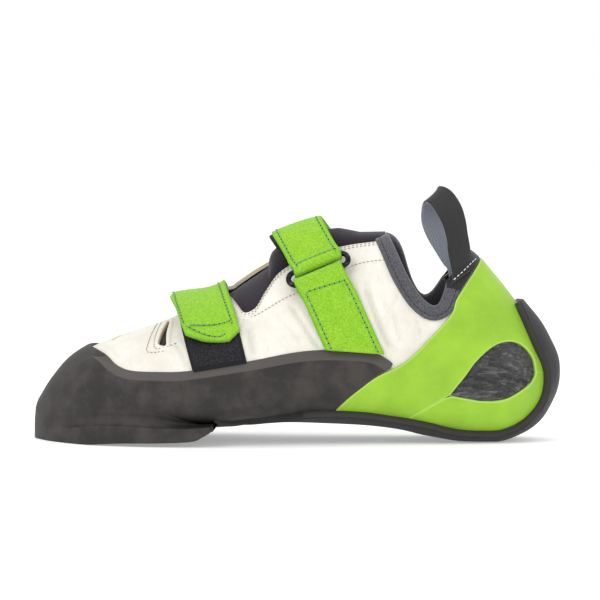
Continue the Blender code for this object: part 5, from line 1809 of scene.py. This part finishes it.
# %% Needle and thread
STITCH_SHAPE = (
    (-0.5, 0.25, -0.22), (-0.36, 0.85, 0.02), (0.0, 1.0, 0.12), (0.36, 0.85, 0.02), (0.5, 0.25, -0.22),
)
STITCH_SIDES, HOLE_RADIUS, HOLE_LIFT = 6, 0.42, 0.00006


def sew(name, finish, seams, pitch, length, radius, hole_shade=None):
    """One mesh of stitches along several seams of (points, normals), sizes in mm."""
    turns = np.linspace(0, 2 * math.pi, STITCH_SIDES + 1)[:-1]
    verts, faces, hole_verts, hole_faces = [], [], [], []
    for spots, normals in seams:
        at, ahead, out = seam_frames(spots, normals, pitch * MM)
        for p, a, s, n in zip(at, ahead, np.cross(ahead, out), out):
            start = len(verts)
            for run, thick, rise in STITCH_SHAPE:
                middle = p + a * (run * length * MM) + n * (rise * MM)
                for turn in turns:
                    rim = s * math.cos(turn) + n * math.sin(turn)
                    verts.append(middle + rim * (radius * thick * MM))
            for k in range(len(STITCH_SHAPE) - 1):
                for j in range(STITCH_SIDES):
                    b, c = start + STITCH_SIDES * k + j, start + STITCH_SIDES * k + (j + 1) % STITCH_SIDES
                    faces.append((b, c, c + STITCH_SIDES, b + STITCH_SIDES))
            # Painted shade: a dark disc over each needle hole, between the stitches.
            if hole_shade:
                hole_faces.append(tuple(range(len(hole_verts), len(hole_verts) + STITCH_SIDES)))
                for turn in turns:
                    rim = a * math.cos(turn) + s * math.sin(turn)
                    hole_verts.append(p + a * (0.5 * pitch * MM) + rim * (HOLE_RADIUS * MM) + n * HOLE_LIFT)
    dress(mesh_piece(name, verts, faces), finish)
    if hole_shade:
        dress(mesh_piece(name + "_holes", hole_verts, hole_faces), hole_shade)


# %% [markdown]
# Most seams are lines in the side view, lifted onto the face of the sheet they hold. The seams beside
# the tongue follow the throat's edge at a distance instead, as a sewing machine's guide does.

# %% Seams of the leather
LEATHER_THREAD, TAPE_THREAD = (2.0, 1.5, 0.2), (2.5, 1.75, 0.3)
ON_EYESTAY, BESIDE_EYESTAY = 0.62, 0.0009


def side_seam(line, lift, medial=False):
    """A seam along a side-view line, lifted off the last by some millimetres."""
    return on_side(curve(line), lift * MM, medial)


def edge_seam(start, end, which, inset):
    """A seam that follows the throat's lateral (1) or medial (2) edge at a distance."""
    rows = np.linspace(start, end, 60)
    sign = 1 if which == 1 else -1
    girth = np.interp(rows, ALONG[TIP_RINGS:-TIP_RINGS], GIRTH[TIP_RINGS:-TIP_RINGS])
    turns_here = sign * (throat_turns(rows, which) + inset * MM / girth)
    return on_last(rows, turns_here, ON_EYESTAY * MM)


leather_seams = [
    side_seam(shifted(curve(EYESTAY), BESIDE_EYESTAY), ON_EYESTAY),
    edge_seam(0.405, 0.66, 1, 1.3), edge_seam(0.405, 0.66, 1, 2.7), edge_seam(0.375, 0.66, 2, 1.5),
    edge_seam(0.375, 0.404, 1, 1.3), side_seam(SLIT_SEAMS[0], 0.1), side_seam(SLIT_SEAMS[1], 0.1),
    side_seam(shifted(curve(EYESTAY + FAR_EYESTAY), BESIDE_EYESTAY), ON_EYESTAY, True),
]
sew("leather_stitches", "thread_grey", leather_seams, *LEATHER_THREAD)
print(len(leather_seams), "seams on the leather")

# %% [markdown]
# The front strap's tab is sewn down along its lower half. Its seams have to stand off the shoe with the
# tab, so they go through stand_off too.

# %% Seams of the front strap
tab_top = tab_floor + TAB_THICKNESS + 0.06
tab_seams = []
for seam_line in (
        from_photo((-58.4, 68.6), (-55.6, 60.8), (-52.8, 52.8)),
        from_photo((-52.0, 51.9), (-47.0, 51.0), (-42.0, 50.7), (-37.5, 51.2), (-34.6, 52.6)),
        from_photo((-36.8, 75.4), (-34.4, 68.0), (-32.0, 61.0), (-31.0, 57.6)),
        from_photo((-50.6, 52.4), (-41.0, 55.4), (-32.2, 58.6))):
    at, normal = side_seam(seam_line, tab_top)
    tab_seams.append((at + normal * stand_off(at, normal)[:, None] * MM, normal))
sew("front_strap_stitches", "thread_mint", tab_seams, *TAPE_THREAD, "dark_thread_and_hole_shade")
print(len(tab_seams), "seams on the front strap")

# %% [markdown]
# On the instep strap the seams run with the band: two near its edges and one across it, where the fold
# is sewn shut. They are read off the band's own rows, so that they bend with the tape, and then laid on
# the face that looks away from the shoe.

# %% Seams of the instep strap
OUT_LIFT = TAPE / 2 / MM + 0.05


def laid(line, ahead, across):
    """The seam on a band's outward face, with the normals there."""
    normal = unit(np.cross(ahead, across))
    outward = line - (0.0, SHIFT[1], 0.05)
    outward[:, 0] = 0.0
    normal = normal * np.where((normal * outward).sum(axis=1) > 0, 1.0, -1.0)[:, None]
    return line + normal * OUT_LIFT * MM, normal


def band_seam(rows, start, share):
    """A seam along a band's rows, at a share of its width."""
    column = share * (rows.shape[1] - 1)
    j = int(min(column, rows.shape[1] - 2))
    near, far = rows[start:-1, j], rows[start:-1, j + 1]
    line = near * (1 - column + j) + far * (column - j)
    return laid(line, np.gradient(line, axis=0), far - near)


def cross_seam(rows, row):
    """A seam straight across a band."""
    columns = np.linspace(0.1, 0.9, 20) * (rows.shape[1] - 1)
    j = np.minimum(columns.astype(int), rows.shape[1] - 2)
    t = (columns - j)[:, None]
    line = rows[row, j] * (1 - t) + rows[row, j + 1] * t
    return laid(line, rows[row + 1, j] - rows[row - 1, j], rows[row, j + 1] - rows[row, j])


strap_middle, anchor_middle = strap_rows.mean(axis=1), anchor_rows.mean(axis=1)
strap_fold = int(np.argmin(strap_middle[:, 2] + (strap_middle[:, 1] > 0) * 9))
anchor_fold = int(np.argmax(anchor_middle[:, 2]))
tape_seams = [
    band_seam(strap_rows, strap_fold + 5, 0.095), band_seam(strap_rows, strap_fold + 5, 0.905),
    cross_seam(strap_rows, strap_fold + 8),
    band_seam(anchor_rows, anchor_fold + 9, 0.10), band_seam(anchor_rows, anchor_fold + 9, 0.90),
    cross_seam(anchor_rows, anchor_fold + 9),
]
sew("instep_strap_stitches", "thread_mint", tape_seams, *TAPE_THREAD, "dark_thread_and_hole_shade")
print("folds at rows", strap_fold, "and", anchor_fold)

# %% [markdown]
# The last two seams are the dark one in the binding's notch, which runs all round the collar, and a
# short white one across the pull loop's foot.

# %% Seams of the collar and the heel
NOTCH_INSET, NOTCH_LIFT = 4.3, 1.2
collar_seams = [on_side(shifted(line, -NOTCH_INSET * MM), NOTCH_LIFT * MM, side == "medial")
                for side, line in binding_lines.items()]
sew("collar_stitches", "dark_thread_and_hole_shade", collar_seams, 2.2, 1.6, 0.2)
heel_seam = side_seam(from_photo((86.6, 88.9), (81.5, 84.3), (76.2, 79.9)), 3.75)
sew("heel_stitches", "thread_white", [heel_seam], 2.4, 1.6, 0.28)
print(len(collar_seams), "collar seams and the heel seam")

# %% [markdown]
# ## The studio
# The photograph shows the shoe from its lateral side on white, nearly level and from far away, so that
# it looks almost flat. The floor is paper that also glows a little, or the shoe's own shade would make
# it grey.

# %% Paper floor
bpy.ops.mesh.primitive_plane_add(size=1)
floor = bpy.context.active_object
floor.name = "floor"
floor.scale = (8, 8, 1)
paper = Bench("floor_paper")
fibre = paper.noise(0.002, 2)
floor.data.materials.append(paper.finish(
    Base_Color=paper.blend(fibre, (0.80, 0.80, 0.80), (0.82, 0.82, 0.82)), Roughness=0.95,
    Emission_Color=(0.9, 0.9, 0.9, 1.0), Emission_Strength=0.34))
print("floor:", floor.dimensions[0], "m wide")


# %% Camera
DISTANCE, ELEVATION, CAMERA_TARGET = 1.9, math.radians(3.0), (0.0021, -0.020, 0.0710)
SENSOR, FRAME_WIDTH, TARGET_TO_SHOE = 36, 0.300, 0.025


def aim(thing, target):
    """Turns a camera or lamp to look at a point."""
    thing.rotation_mode = "QUATERNION"
    thing.rotation_quaternion = (Vector(target) - thing.location).to_track_quat("-Z", "Y")


camera_data = bpy.data.cameras.new("camera")
camera = bpy.data.objects.new("camera", camera_data)
bpy.context.scene.collection.objects.link(camera)
back_off = Vector((0, -math.cos(ELEVATION), math.sin(ELEVATION)))
camera.location = Vector(CAMERA_TARGET) + back_off * DISTANCE
aim(camera, CAMERA_TARGET)
camera_data.sensor_width = SENSOR
camera_data.lens = SENSOR * (DISTANCE + TARGET_TO_SHOE) / FRAME_WIDTH
camera_data.clip_end = 20
bpy.context.scene.camera = camera
print("lens:", round(camera_data.lens), "mm")

# %% [markdown]
# Three large, weak lamps over a white world give the soft light of a product picture: the key from the
# front left draws the folds, the fill opens the heel's shade and the top lamp lights the instep.

# %% Lamps and world
LAMPS = (
    ("key", (-0.7, -0.9, 1.0), 0.7, 5.0),
    ("fill", (1.1, -0.8, 0.5), 0.9, 2.0),
    ("top", (0.2, 0.3, 1.2), 1.0, 3.0),
)
for name, spot, size, watts in LAMPS:
    light = bpy.data.lights.new(name, "AREA")
    light.size, light.energy = size, watts
    lamp = bpy.data.objects.new(name, light)
    lamp.location = spot
    bpy.context.scene.collection.objects.link(lamp)
    aim(lamp, (0, 0, 0.05))
world = bpy.data.worlds.new("studio")
world.use_nodes = True
world.node_tree.nodes["Background"].inputs["Color"].default_value = (1, 1, 1, 1)
world.node_tree.nodes["Background"].inputs["Strength"].default_value = 1.0
bpy.context.scene.world = world
bpy.context.scene.view_settings.view_transform = "Standard"
print(len(LAMPS), "lamps")
